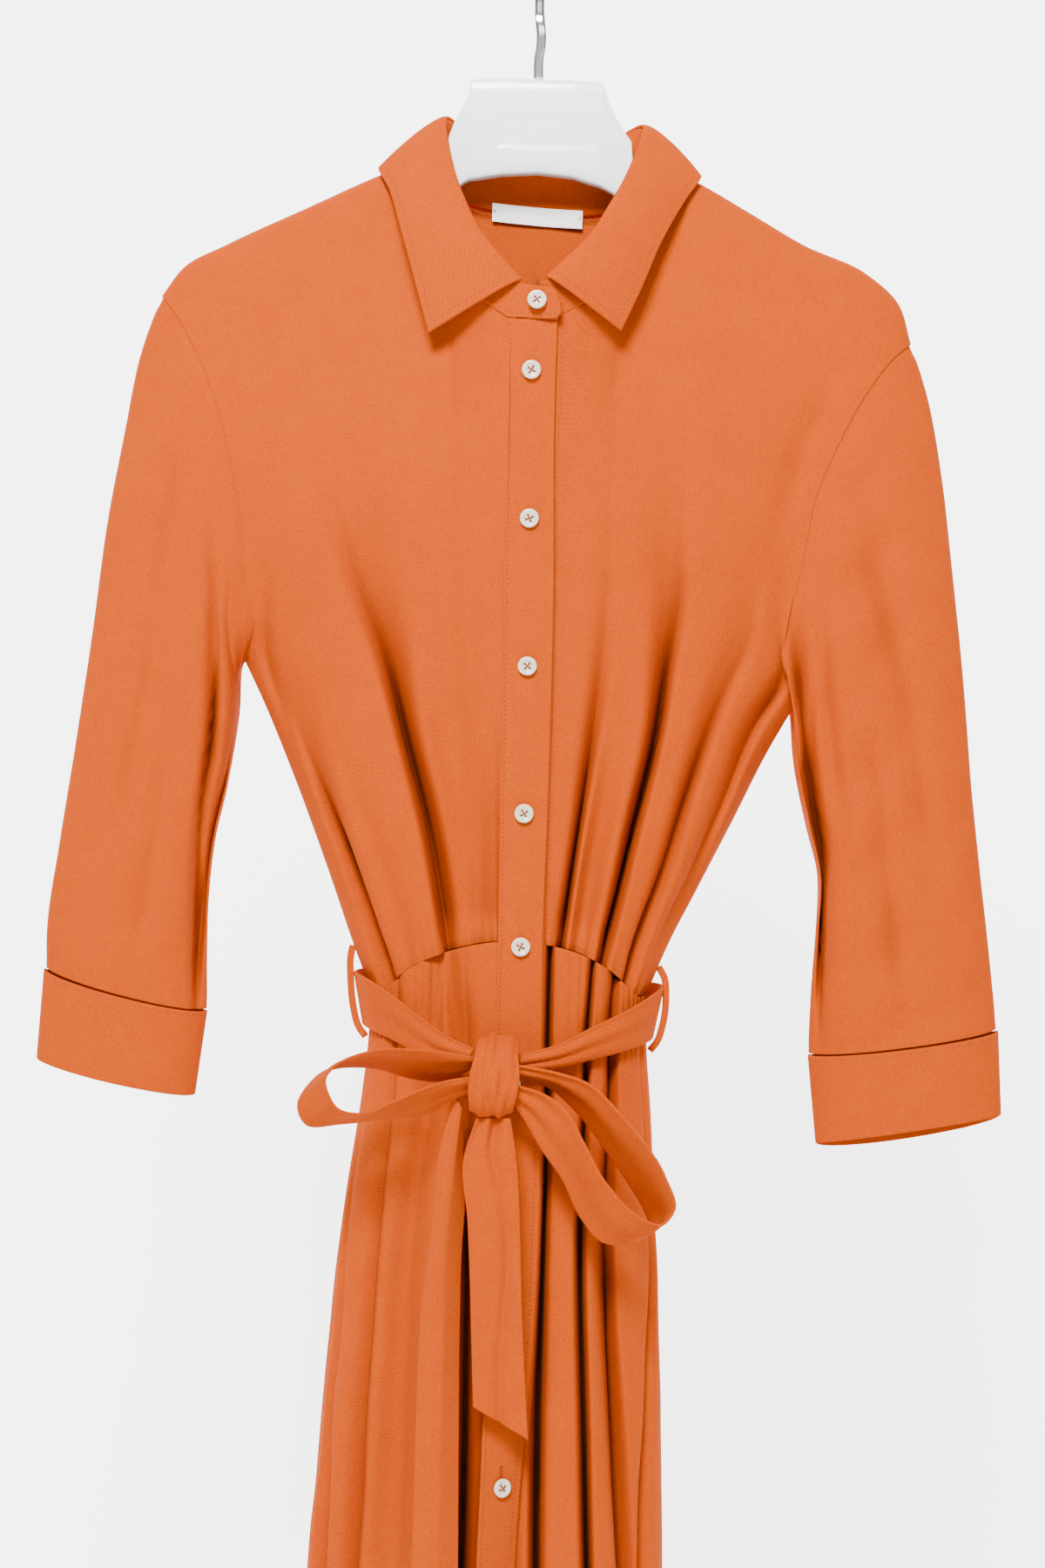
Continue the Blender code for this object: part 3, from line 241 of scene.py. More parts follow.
materials = {
    "jersey": clothMaterial("burnt orange jersey", jersey["lit"], jersey["deep"]),
    "thread": plainMaterial("rust thread", (0.05, 0.006, 0.002, 1), (0.10, 0.012, 0.003, 1), 1500.0,
                            {"Roughness": 0.7}),
    "buttonThread": plainMaterial("button thread", (0.17, 0.028, 0.006, 1), (0.24, 0.045, 0.010, 1), 1500.0,
                                  {"Roughness": 0.7}),
    "shell": plainMaterial("cream shell", (0.52, 0.44, 0.32, 1), (0.68, 0.62, 0.50, 1), 260.0,
                           {"Roughness": 0.22, "Coat Weight": 0.4, "Coat Roughness": 0.1}),
    "tape": plainMaterial("woven tape", (0.80, 0.77, 0.71, 1), (0.90, 0.88, 0.84, 1), 900.0,
                          {"Roughness": 0.75}),
    "white": plainMaterial("white moulding", (0.86, 0.86, 0.86, 1), (0.90, 0.90, 0.90, 1), 30.0,
                           {"Roughness": 0.24, "Coat Weight": 0.25, "Coat Roughness": 0.08}),
    "chrome": plainMaterial("polished steel", (0.62, 0.62, 0.64, 1), (0.75, 0.75, 0.77, 1), 90.0,
                            {"Roughness": 0.12, "Metallic": 1.0}),
}


# mesh makers

def dress(piece, finish, nodes=()):
    piece.data.materials.clear()
    piece.data.materials.append(materials[finish])
    piece.data.polygons.foreach_set("use_smooth", np.ones(len(piece.data.polygons), bool))
    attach(piece, "root")
    if nodes:
        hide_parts(*nodes)
    return piece


# a grid primitive whose vertices are moved to the points; joins edges that meet
def putGrid(name, grid, lengths, foldShadeMask=None):
    rows, columns = grid.shape[:2]
    bpy.ops.object.select_all(action="DESELECT")
    bpy.ops.mesh.primitive_grid_add(x_subdivisions=columns - 1, y_subdivisions=rows - 1, size=1.0)
    piece = bpy.context.object
    piece.name = name.replace(" ", "_")
    piece.data.name = piece.name
    piece.data.vertices.foreach_set("co", (grid * mm).astype(np.float32).reshape(-1))
    corner = np.empty(len(piece.data.loops), np.int32)
    piece.data.loops.foreach_get("vertex_index", corner)
    piece.data.uv_layers.active.data.foreach_set(
        "uv", lengths.reshape(-1, 2)[corner].astype(np.float32).reshape(-1))
    # stores the painted fold shade as the fold attribute
    if foldShadeMask is not None:
        layer = piece.data.attributes.new("fold", "FLOAT", "POINT")
        layer.data.foreach_set("value", foldShadeMask.astype(np.float32).reshape(-1))
    piece.data.update()
    bpy.ops.object.mode_set(mode="EDIT")
    bpy.ops.mesh.select_all(action="SELECT")
    bpy.ops.mesh.remove_doubles(threshold=0.000004)
    bpy.ops.object.mode_set(mode="OBJECT")
    return piece


def clothLengths(grid):
    across = np.linalg.norm(np.diff(grid, axis=1), axis=2)
    down = np.linalg.norm(np.diff(grid, axis=0), axis=2)
    u = np.concatenate((np.zeros((grid.shape[0], 1)), np.cumsum(across, axis=1)), axis=1)
    v = np.concatenate((np.zeros((1, grid.shape[1])), np.cumsum(down, axis=0)), axis=0)
    u = u - u[:, [grid.shape[1] // 2]]
    return np.stack((u, v), axis=-1) * mm


# how far each point lies behind the cloth beside it, from 0 to 1 in a deep fold: painted shade that darkens
# the base colour in folds
def paintedFoldShade(grid, ring):
    reach = max(2, grid.shape[1] // jersey["foldColumns"])
    wide = np.pad(grid, ((0, 0), (reach, reach), (0, 0)), mode="wrap" if ring else "reflect")
    sums = np.cumsum(np.pad(wide, ((0, 0), (1, 0), (0, 0))), axis=1)
    mean = (sums[:, 2 * reach + 1:] - sums[:, :-2 * reach - 1]) / (2 * reach + 1)
    behind = ((mean - grid) * gridNormals(mean, ring)).sum(axis=-1)
    return np.clip((behind - jersey["foldFrom"]) / jersey["foldDeep"], 0, 1)


# adds rows close to both ends of a grid, so that its edge can round over
def withEdges(grid, reach, axis):
    grid = np.moveaxis(grid, axis, 0)
    first = np.linalg.norm(grid[1] - grid[0], axis=-1).mean()
    last = np.linalg.norm(grid[-1] - grid[-2], axis=-1).mean()
    out = [grid[0]]
    for share in (0.1, 0.4, 1.0):
        if share * reach < first * 0.8:
            out.append(grid[0] + (grid[1] - grid[0]) * share * reach / first)
    out.extend(grid[1:-1])
    for share in (1.0, 0.4, 0.1):
        if share * reach < last * 0.8:
            out.append(grid[-1] + (grid[-2] - grid[-1]) * share * reach / last)
    out.append(grid[-1])
    return np.moveaxis(np.array(out), 0, axis)


def edgeProfile(grid, reach, axis):
    steps = np.linalg.norm(np.diff(grid, axis=axis), axis=-1)
    steps = steps.mean(axis=1 - axis)
    from_start = np.concatenate(([0.0], np.cumsum(steps)))
    from_end = from_start[-1] - from_start
    near = np.clip(np.minimum(from_start, from_end) / reach, 0, 1)
    return np.sqrt(np.clip(1 - (1 - near) ** 2, 0, 1))


# cloth with rounded edges: an outer and an inner face about a middle surface
def putCloth(name, grid, thick, finish="jersey", nodes=(), ring=False, hint=None, soft=1):
    grid = np.asarray(grid, float)
    reach = thick / 2
    grid = withEdges(grid, reach, 0)
    if not ring:
        grid = withEdges(grid, reach, 1)
    facing = np.cross(np.gradient(grid, axis=1), np.gradient(grid, axis=0))
    if ring:
        hint = grid - grid.mean(axis=1, keepdims=True)
    elif hint is None:
        hint = grid * np.array((1.0, 1.0, 0.0))
    elif isinstance(hint, str):
        hint = grid - grid.mean(axis=(0, 1))
    if (facing * hint).sum() < 0:
        grid = grid[:, ::-1]
    normals = gridNormals(grid, ring)
    for _ in range(soft):
        beside = np.pad(normals, ((1, 1), (0, 0), (0, 0)), mode="edge")
        normals = unit(2 * normals + beside[:-2] + beside[2:])
    half = reach * edgeProfile(grid, reach, 0)[:, None]
    if not ring:
        half = half * edgeProfile(grid, reach, 1)[None, :]
    half = half[..., None]
    outer = grid + normals * half
    inner = (grid - normals * half)[::-1][1:]
    lengths = clothLengths(grid)
    lengths = np.concatenate((lengths, lengths[::-1][1:]))
    # painted shade for the folds, the same on the outer and the inner face
    foldShadeMask = paintedFoldShade(grid, ring)
    foldShadeMask = np.concatenate((foldShadeMask, foldShadeMask[::-1][1:]))
    piece = putGrid(name, np.concatenate((outer, inner)), lengths, foldShadeMask)
    return dress(piece, finish, nodes)


# many small dashes joined into one piece; a run is points, outward directions, pitch and stitched share
def putStitches(name, runs, width=0.78, height=0.24):
    corners = []
    for points, outs, pitch, share in runs:
        points = np.asarray(points, float)
        outs = np.asarray(outs, float)
        gaps = np.linalg.norm(np.diff(points, axis=0), axis=1)
        knots = np.concatenate(([0.0], np.cumsum(gaps)))
        count = max(1, int(knots[-1] / pitch))
        starts = (np.arange(count) + 0.5 - share / 2) * knots[-1] / count
        ends = starts + share * knots[-1] / count
        middles = (starts + ends) / 2
        at = lambda places: np.stack([np.interp(places, knots, points[:, k]) for k in range(3)], axis=-1)
        out = unit(np.stack([np.interp(middles, knots, outs[:, k]) for k in range(3)], axis=-1))
        a, b, m = at(starts), at(ends), at(middles)
        side = unit(np.cross(b - a, out)) * width / 2
        corners.append(np.stack((a - out * 0.1, m + side, m + out * height, m - side, m - out * 0.15,
                                 b - out * 0.1),
                                axis=1))
    corners = np.concatenate(corners)
    faces = np.array(((0, 1, 2), (0, 2, 3), (0, 3, 4), (0, 4, 1), (5, 2, 1), (5, 3, 2), (5, 4, 3),
                      (5, 1, 4)))
    count = len(corners)
    allFaces = (faces[None] + 6 * np.arange(count)[:, None, None]).reshape(-1, 3)
    name = name.replace(" ", "_")
    mesh = bpy.data.meshes.new(name)
    mesh.from_pydata((corners.reshape(-1, 3) * mm).tolist(), [], allFaces.tolist())
    piece = bpy.data.objects.new(name, mesh)
    bpy.context.scene.collection.objects.link(piece)
    bpy.ops.object.select_all(action="DESELECT")
    bpy.context.view_layer.objects.active = piece
    piece.select_set(True)
    bpy.ops.object.mode_set(mode="EDIT")
    bpy.ops.mesh.select_all(action="SELECT")
    bpy.ops.mesh.normals_make_consistent(inside=False)
    bpy.ops.object.mode_set(mode="OBJECT")
    return dress(piece, "thread")


# how far stitches lie from a cloth's middle
sewing = {"onCloth": 0.42, "onStand": 0.82}


# the body: right is the wearer's right, towards -X

body = {
    "shoulder": {
        "right": ((-57, 0, -131), (-88, 0, -144), (-136, 0, -167), (-183, 0, -190), (-206, 0, -203),
                  (-219, 0, -221)),
        "left": ((63, 0, -131), (94, 0, -144), (127, 0, -162), (161, 0, -181), (198, 0, -197),
                 (217, 0, -214),
                 (225, 0, -238))},
    "armhole": {
        "right": ((-219, -221), (-208, -235), (-196, -256), (-184, -284), (-174, -320), (-167, -352),
                  (-163, -392), (-159, -412), (-165, -434)),
        "left": ((225, -238), (214, -248), (198, -270), (183, -298), (169, -334), (162, -374),
                 (155, -408), (154, -428), (165, -448))},
    "side": {
        "right": ((-165, -434), (-153, -458), (-132, -506), (-110, -562), (-96, -600), (-84, -630)),
        "left": ((165, -448), (147, -480), (126, -524), (107, -563), (90, -598), (78, -628))},
    # x, front z, back z
    "waist": ((-86, -630, -630), (-77, -627, -629), (-62, -614, -620), (-42, -604, -611), (-11, -596, -606),
              (17, -597, -606), (40, -603, -610), (60, -615, -618), (72, -626, -627), (80, -628, -628)),
    # z, button band's seam x and y, its free edge x and y
    "opening": ((-234, -14, -60, 15, -60), (-300, -13, -55, 15, -55), (-400, -12, -52, 17, -52),
                (-500, -11, -50, 17, -49), (-596, -10, -49, 16, -47), (-660, -10, -49, 17, -45),
                (-745, -10, -53, 18, -45), (-836, -11, -58, 16, -46), (-911, -12, -61, 11, -48),
                (-957, -13, -63, 9, -49), (-1100, -14, -70, 9, -58), (-1310, -15, -82, 9, -72)),
    # z, reach right and left, depth before and behind
    "rings": ((-596, -84, 78, 47, 42), (-659, -85, 79, 47, 42), (-690, -88, 82, 50, 46),
              (-750, -96, 86, 55, 53),
              (-850, -105, 92, 63, 61), (-950, -111, 96, 69, 68), (-1100, -120, 100, 77, 78),
              (-1310, -131, 106, 88, 90)),
    "centreBack": ((2, 25, -163), (2, 31, -220), (1, 38, -300), (0, 43, -400), (-1, 45, -500),
                   (-3, 42, -606)),
    "neckShare": 0.24, "armholeShare": 0.5, "armholeDepth": 25.0, "hangerRise": 13.0,
    "hem": -1310.0, "seamGap": 0.35, "underStep": 3.4, "top": -237.0,
}


def waistHeight(x, back):
    table = np.asarray(body["waist"], float)
    return smoothCurve(table[:, 0], table[:, 2 if back else 1], x)


def ringAt(z):
    right, left, front, back = np.moveaxis(byHeight(body["rings"], z), -1, 0)
    return (left + right) / 2, (left - right) / 2, front, back


def ringPoint(angle, z):
    centre, half, front, back = ringAt(z)
    depth = np.where(np.cos(angle) >= 0, front, back)
    return centre + half * np.sin(angle), -depth * np.cos(angle)


def ringInward(angle, z):
    _, half, front, back = ringAt(z)
    depth = np.where(np.cos(angle) >= 0, front, back)
    return unit(np.stack((-depth * np.sin(angle), half * np.cos(angle), np.zeros_like(depth * angle)),
                         axis=-1))


def frontEdge(side, z):
    seamX, seamY, freeX, freeY = np.moveaxis(byHeight(body["opening"], z), -1, 0)
    if side == "right":
        return seamX + 2.0, seamY
    return freeX + 0.5, freeY + body["underStep"]


def armhole(side, share, back):
    flat = along(body["armhole"][side], share)
    reach = body["armholeDepth"] * 2.0 * np.sqrt(np.clip(share * (1.0 - share), 0.0, 1.0))
    return np.stack((flat[..., 0], reach if back else -reach, flat[..., 1]), axis=-1)


def sideLine(side, share, back):
    half = body["armholeShare"]
    upper = armhole(side, np.clip(share / half, 0, 1), back)
    lower = along(body["side"][side], np.clip((share - half) / (1 - half), 0, 1))
    lower = np.stack((lower[..., 0], np.zeros_like(share), lower[..., 1]), axis=-1)
    return np.where((share < half)[..., None], upper, lower)


def topLine(side, share, back):
    rows = collarRows()
    gaps = np.linalg.norm(np.diff(rows[:, :3], axis=0), axis=1)
    neckPoint = gaps[:4 if side == "right" else len(rows) - 5].sum() / gaps.sum()
    middle = gaps[:6].sum() / gaps.sum()
    start = middle if back else (0.0 if side == "right" else 1.0)
    neck = body["neckShare"]
    onNeck = collarAt(start + (neckPoint - start) * np.clip(share / neck, 0, 1))[0]
    onShoulder = along(body["shoulder"][side], np.clip((share - neck) / (1 - neck), 0, 1))
    return np.where((share < neck)[..., None], onNeck, onShoulder)


def centreLine(side, share, back):
    if back:
        return along(body["centreBack"], share)
    top = collar["sections"][side][0][2]
    z = top + share * (waistHeight(np.array(0.0), False) - top)
    x, y = frontEdge(side, z)
    return np.stack((x, y, z), axis=-1)


# the plain bodice: across 0 at the centre to 1 at the side, down 0 to 1
def bodiceBase(side, across, down, back):
    ones, zeros = np.ones_like(across), np.zeros_like(across)
    top = topLine(side, across, back)
    edge = sideLine(side, down, back)
    centre = centreLine(side, down, back)
    lowIn, lowOut = centreLine(side, ones, back), sideLine(side, ones, back)
    highIn, highOut = topLine(side, zeros, back), topLine(side, ones, back)
    waistX = lowIn[..., 0] * (1 - across) + lowOut[..., 0] * across
    waistZ = waistHeight(waistX, back)
    flat = []
    for axis, low in ((0, waistX), (2, waistZ)):
        sides = (1 - across) * centre[..., axis] + across * edge[..., axis]
        ends = (1 - down) * top[..., axis] + down * low
        corners = ((1 - down) * ((1 - across) * highIn[..., axis] + across * highOut[..., axis])
                   + down * ((1 - across) * lowIn[..., axis] + across * lowOut[..., axis]))
        flat.append(sides + ends - corners)
    x, z = flat
    sign = 1.0 if back else -1.0
    middle, reach = sign * centre[..., 1], sign * edge[..., 1]
    soft = 1.0 - across**2.2
    bent = np.clip(1.0 - across**2.4, 0, 1) ** (1 / 2.4)
    below = rise(down, 0.42, 0.8)
    depth = reach + (middle - reach) * (soft * (1 - below) + bent * below)
    waisted = rise(down, 0.72, 1.0)
    centreX, _, front, rear = ringAt(waistZ)
    lean = (x - centreX) / np.abs(edge[..., 0] - centreX)
    ring = (rear if back else front) * np.sqrt(np.clip(1 - lean ** 2, 0, 1))
    ring = ring + (middle - (rear if back else front)) * (1 - across) ** 3
    depth = depth * (1 - waisted) + ring * waisted
    held = rise(across, 0.8, 1.0) * (1 - rise(down, 0.4, 0.5))
    neck = body["neckShare"]
    spread = rise(down, 0.0, 0.42) ** 0.75
    length = 0.05 + 0.22 * (1 - rise(across, neck * 0.9, neck * 2.0))
    overArm = np.sqrt(np.clip(1 - (1 - np.clip(down / length, 0, 1)) ** 2, 0, 1))
    onArm = rise(across, neck * 0.2, neck)
    depth = (sign * top[..., 1] * (1 - spread) + depth * spread
             + body["hangerRise"] * overArm * onArm * (1 - spread))
    depth = depth * (1 - held) + reach * held
    return np.stack((x, sign * depth, z), axis=-1)


panels = {}


# a line on a made panel: for each row, the point at a distance from its edge
def besideEdge(grid, distances, lastColumn=False):
    row = grid[:, ::-1] if lastColumn else grid
    runs = np.concatenate((np.zeros((len(row), 1)),
                           np.cumsum(np.linalg.norm(np.diff(row, axis=1), axis=2), axis=1)),
                          axis=1)
    return np.array([[np.interp(d, runs[k], row[k, :, axis]) for axis in range(3)]
                     for k, d in enumerate(distances)])


def outwards(grid, toY):
    normals = gridNormals(grid, False)
    return normals * np.sign(normals[..., 1:2].mean() * toY)


# creases: path (down, across), start, full, (depth at start, waist), (half width at start, waist), lean, stop
bodiceCreases = {
    "right": (
        {"path": ((0.0, 0.74), (0.23, 0.71), (0.41, 0.62), (0.54, 0.535), (0.73, 0.49), (0.85, 0.44),
                  (1.0, 0.405)),
         "start": 0.12, "full": 0.75, "deep": (18, 30), "wide": (24, 3.6), "lean": 1.6},
        {"path": ((0.0, 0.50), (0.41, 0.40), (0.6, 0.36), (0.85, 0.30), (1.0, 0.28)),
         "start": 0.3, "full": 0.7, "deep": (5.0, 3.0), "wide": (16, 8), "lean": 1.2},
        {"path": ((0.0, 0.2), (0.6, 0.2), (1.0, 0.17)),
         "start": 0.38, "full": 0.95, "deep": (12, 15), "wide": (26, 17), "lean": 1.0},
        {"path": ((0.0, 0.92), (0.66, 0.90), (0.78, 0.90), (0.9, 0.89), (1.0, 0.87)),
         "start": 0.4, "full": 0.86, "deep": (10, 22), "wide": (9, 3.0), "lean": 1.3},
        {"path": ((0.0, 0.84), (0.69, 0.78), (0.8, 0.74), (1.0, 0.66)),
         "start": 0.5, "full": 0.8, "deep": (3.0, 2.0), "wide": (9, 5), "lean": 1.0},
        {"path": ((0.0, 0.02), (0.48, 0.05), (0.7, 0.07), (1.0, 0.16)),
         "start": 0.35, "full": 0.8, "deep": (2.0, 3.5), "wide": (8, 5), "lean": 1.0},
        {"path": ((0.0, 0.99), (0.5, 0.93), (0.66, 0.965), (1.0, 0.95)),
         "start": 0.36, "full": 0.56, "deep": (6.0, 5.0), "wide": (6, 4), "lean": 1.0, "stop": (0.8, 1.0)},
        {"path": ((0.0, 0.60), (0.3, 0.50), (1.0, 0.5)),
         "start": 0.04, "full": 0.2, "deep": (2.2, 2.2), "wide": (30, 30), "lean": 1.0,
         "stop": (0.25, 0.45)},
    ),
    "left": (
        {"path": ((0.0, 0.17), (0.49, 0.20), (0.66, 0.23), (0.78, 0.215), (0.9, 0.195), (1.0, 0.17)),
         "start": 0.3, "full": 0.92, "deep": (8, 26), "wide": (14, 3.2), "lean": 1.3},
        {"path": ((0.0, 0.54), (0.37, 0.51), (0.53, 0.49), (0.69, 0.54), (0.83, 0.555), (0.92, 0.575),
                  (1.0, 0.57)),
         "start": 0.24, "full": 0.74, "deep": (17, 30), "wide": (12, 3.0), "lean": 1.6},
        {"path": ((0.0, 0.88), (0.39, 0.82), (0.56, 0.74), (0.74, 0.75), (0.86, 0.80), (1.0, 0.82)),
         "start": 0.28, "full": 0.75, "deep": (13, 12), "wide": (9, 3.2), "lean": 1.5},
        {"path": ((0.0, 0.34), (0.6, 0.34), (0.8, 0.34), (1.0, 0.33)),
         "start": 0.4, "full": 0.9, "deep": (9, 13), "wide": (14, 8), "lean": 1.0},
        {"path": ((0.0, 1.0), (0.43, 0.985), (0.59, 0.89), (0.73, 0.92), (0.85, 0.96), (1.0, 0.97)),
         "start": 0.36, "full": 0.56, "deep": (10, 8), "wide": (6, 4), "lean": 1.3, "stop": (0.85, 1.0)},
        {"path": ((0.0, 0.90), (0.14, 0.88), (0.31, 0.86), (1.0, 0.84)),
         "start": 0.08, "full": 0.2, "deep": (3.0, 3.0), "wide": (9, 9), "lean": 1.0, "stop": (0.26, 0.4)},
    ),
    "back": tuple({"path": ((0.0, a), (0.6, b), (1.0, b)), "start": c, "full": 0.93, "deep": (d, e),
                   "wide": (w, v)}
                  for a, b, c, d, e, w, v in (
                      (-0.75, -0.78, 0.35, 7, 15, 15, 4.2), (-0.40, -0.45, 0.26, 11, 19, 18, 3.8),
                      (-0.10, -0.14, 0.45, 6, 14, 17, 5.0), (0.24, 0.20, 0.40, 8, 16, 17, 4.2),
                      (0.48, 0.52, 0.30, 11, 19, 15, 3.8), (0.76, 0.80, 0.40, 7, 13, 15, 4.4))),
}


# evens out a panel between its edges
def softened(grid, down, passes):
    held = rise(down[1:-1, 1:-1], 0.0, 0.12)[..., None]
    grid = grid.copy()
    for _ in range(passes):
        inner = (grid[:-2, 1:-1] + grid[2:, 1:-1] + 2 * grid[1:-1, :-2] + 2 * grid[1:-1, 2:]) / 6
        grid[1:-1, 1:-1] += (inner - grid[1:-1, 1:-1]) * held
    return grid


def bodicePanel(side, across, down, back):
    base = bodiceBase(side, np.abs(across), down, back)
    base = softened(base, down, 70)
    width = 200.0 + (80.0 - 200.0) * rise(down, 0.1, 1.0)
    press = np.zeros_like(across)
    for fold in bodiceCreases["back" if back else side]:
        press = press + crease(across, down, width, power=1.3, **fold)
    press = press * (1 - 0.45 * rise(down, 0.95, 1.0))
    gather = np.sin(across * 74 + 2.2 * np.sin(across * 13)) * rise(down, 0.93, 1.0) * 0.5
    press = press + gather * (1 - rise(np.abs(across), 0.9, 1.0))
    press = press + (ripple(base, 3 if back else 5, 70.0, 0.55) * rise(down, 0.05, 0.3)
                     * (1 - rise(down, 0.97, 1.0)))
    centre = ringAt(waistHeight(base[..., 0], back))[0]
    reach = np.abs(sideLine(side, down, back)[..., 0] - centre)
    angle = np.arcsin(np.clip((base[..., 0] - centre) / reach, -1, 1))
    angle = np.pi - angle if back else angle
    level = ringInward(angle, waistHeight(base[..., 0], back))
    straight = np.zeros_like(level)
    straight[..., 1] = -1.0 if back else 1.0
    turn = (rise(down, 0.6, 1.0) * rise(np.abs(np.sin(angle)), 0.55, 1.0))[..., None]
    fade = 1 - rise(np.abs(across), 0.9, 1.0)
    fade = fade * rise(np.abs(across), 0.0, 0.03) if not back else fade
    return base + unit(straight * (1 - turn) + level * turn) * (press * fade)[..., None]


# columns of even width from the top to the waist
def evenColumns(count, edge):
    t = np.linspace(0, 1, count)
    return t + 0.0 * edge


def addBodice():
    sideGap = 0.25
    armholeGap = 0.0004
    for side in ("right", "left"):
        across, down = np.meshgrid(evenColumns(150, 0), np.linspace(0.0, 0.9994, 150))
        limit = 1.0 - armholeGap * (1.0 - rise(down, 0.44, 0.5))
        across = np.minimum(across, limit)
        grid = bodicePanel(side, across, down, False)
        grid[..., 1] = np.minimum(grid[..., 1], -sideGap)
        panels["front_" + side] = grid
        piece = putCloth("front " + side, grid, 0.9, nodes=["bodice_front_" + side])
    half = np.linspace(0, 1, 90)
    rows = np.linspace(0.0, 0.9994, 130)
    grids = []
    for side, sign in (("right", -1), ("left", 1)):
        across, down = np.meshgrid(half, rows)
        limit = 1.0 - armholeGap * (1.0 - rise(down, 0.44, 0.5))
        grids.append(bodicePanel(side, sign * np.minimum(across, limit), down, True))
    grid = np.concatenate((grids[0][:, ::-1], grids[1][:, 1:]), axis=1)
    grid[..., 1] = np.maximum(grid[..., 1], sideGap)
    piece = putCloth("back", grid, 0.9, nodes=["bodice_back"])


# the skirt: angles in degrees, 0 centre front, positive to the wearer's left
skirt = {
    "right": (
        {"path": ((0, -26), (0.15, -14.5), (0.22, -12.0), (0.36, -9.6), (0.5, -8.2), (1, -7.8)),
         "deep": (12, 44), "wide": (4.2, 5.4), "lean": 0.9, "start": -0.3, "full": 0.35},
        {"path": ((0, -19), (0.15, -13.0), (0.36, -9.0), (0.6, -7.6), (1, -7.2)),
         "deep": (8, 26), "wide": (1.1, 1.4), "lean": 1.0, "start": -0.1, "full": 0.6},
        {"path": ((0, -31), (0.08, -30), (0.2, -32), (0.43, -30), (1, -29)), "deep": (16, 17),
         "wide": (1.8, 9),
         "lean": 1.3, "start": -0.3, "full": 0.5},
        {"path": ((0, -54), (0.18, -51), (0.36, -50), (1, -50)), "deep": (10, 19), "wide": (2.4, 5),
         "lean": 1.2,
         "start": -0.2, "full": 0.5},
        {"path": ((0, -76), (0.37, -73), (0.5, -69), (1, -68)), "deep": (6, 26), "wide": (3.0, 3.6),
         "lean": 0.8,
         "start": 0.0, "full": 0.6},
    ),
    "left": (
        {"path": ((0, 17.0), (0.22, 16.6), (0.42, 16.2), (0.75, 19.4), (1, 20)), "deep": (22, 40),
         "wide": (1.5, 1.8), "lean": 1.2,
         "start": -0.4, "full": 0.35},
        {"path": ((0, 37), (0.09, 34), (0.2, 31.5), (0.42, 33.3), (0.75, 39), (1, 41)), "deep": (20, 38),
         "wide": (1.4, 1.8),
         "lean": 1.1, "start": -0.4, "full": 0.35},
        {"path": ((0, 53), (0.1, 49.5), (0.22, 45), (0.36, 49), (0.5, 54.6), (1, 61)), "deep": (20, 34),
         "wide": (1.6, 3.0), "lean": 2.0, "start": -0.4, "full": 0.4},
        {"path": ((0, 72), (0.24, 76), (0.39, 67), (1, 67)), "deep": (7, 18), "wide": (2.8, 3.4),
         "lean": 1.2,
         "start": -0.1, "full": 0.5},
        {"path": ((0, 25), (0.3, 25), (1, 30)), "deep": (1, 5), "wide": (3, 4), "lean": 1.0, "start": 0.0,
         "full": 0.7},
    ),
    "back": tuple({"path": ((0, a), (0.5, b), (1, b)), "deep": (d, e), "wide": (w, w + 0.8), "lean": 1.0,
                   "start": -0.2, "full": 0.5}
                  for a, b, d, e, w in ((108, 110, 8, 20, 3.4), (122, 121, 6, 13, 4.4),
                                        (134, 136, 14, 27, 3.8),
                                        (158, 158, 12, 25, 3.8), (172, 170, 5, 12, 4.6),
                                        (184, 183, 11, 27, 3.8),
                                        (208, 206, 14, 25, 3.8), (232, 230, 13, 27, 3.8),
                                        (252, 252, 8, 21, 3.6))),
}


def skirtSurface(piece, angle, down):
    back = piece == "back"
    plainX = ringPoint(angle, np.full_like(angle, -620.0))[0]
    start = waistHeight(plainX, back) + 0.3
    z = start + (body["hem"] - start) * down
    x, y = ringPoint(angle, z)
    press = np.zeros_like(x)
    for fold in skirt[piece]:
        press = press + crease(np.degrees(angle), down, 1.0, power=1.0, **fold)
    flat = np.stack((x, y, z), axis=-1)
    press = press + ripple(flat, 11 if back else 12, 90.0, 1.2) * rise(down, 0.02, 0.4)
    gather = np.sin(angle * 62 + 2.6 * np.sin(angle * 11))
    press = press + gather * 0.3 * (1 - rise(down, 0.02, 0.16))
    if not back:
        innerX, innerY = frontEdge(piece, z)
        centre, halfWidth = ringAt(z)[:2]
        edgeAngle = np.arcsin(np.clip((innerX - centre) / halfWidth, -1, 1))
        ringEdge = ringPoint(edgeAngle, z)[1]
        away = np.abs(angle - edgeAngle)
        y = y + (innerY - ringEdge) * np.clip(1 - away / math.radians(22), 0, 1) ** 2
        press = press * rise(away, 0, math.radians(1.6))
    fade = rise(np.abs(np.abs(np.arcsin(np.sin(angle))) - math.pi / 2), 0.0, math.radians(7))
    turn = rise(np.abs(np.sin(angle)), 0.55, 1.0)[..., None]
    straight = np.zeros(x.shape + (3,))
    straight[..., 1] = -1.0 if back else 1.0
    inward = unit(straight * (1 - turn) + ringInward(angle, z) * turn)
    return np.stack((x, y, z), axis=-1) + inward * (press * fade)[..., None]


def skirtStops(piece, down):
    if piece == "back":
        return np.full_like(down, math.pi / 2), np.full_like(down, 3 * math.pi / 2)
    z = -600.0 + (body["hem"] + 600.0) * down
    centre, half = ringAt(z)[:2]
    inner = np.arcsin((frontEdge(piece, z)[0] - centre) / half)
    side = np.full_like(down, math.pi / 2)
    return (-side, inner) if piece == "right" else (inner, side)


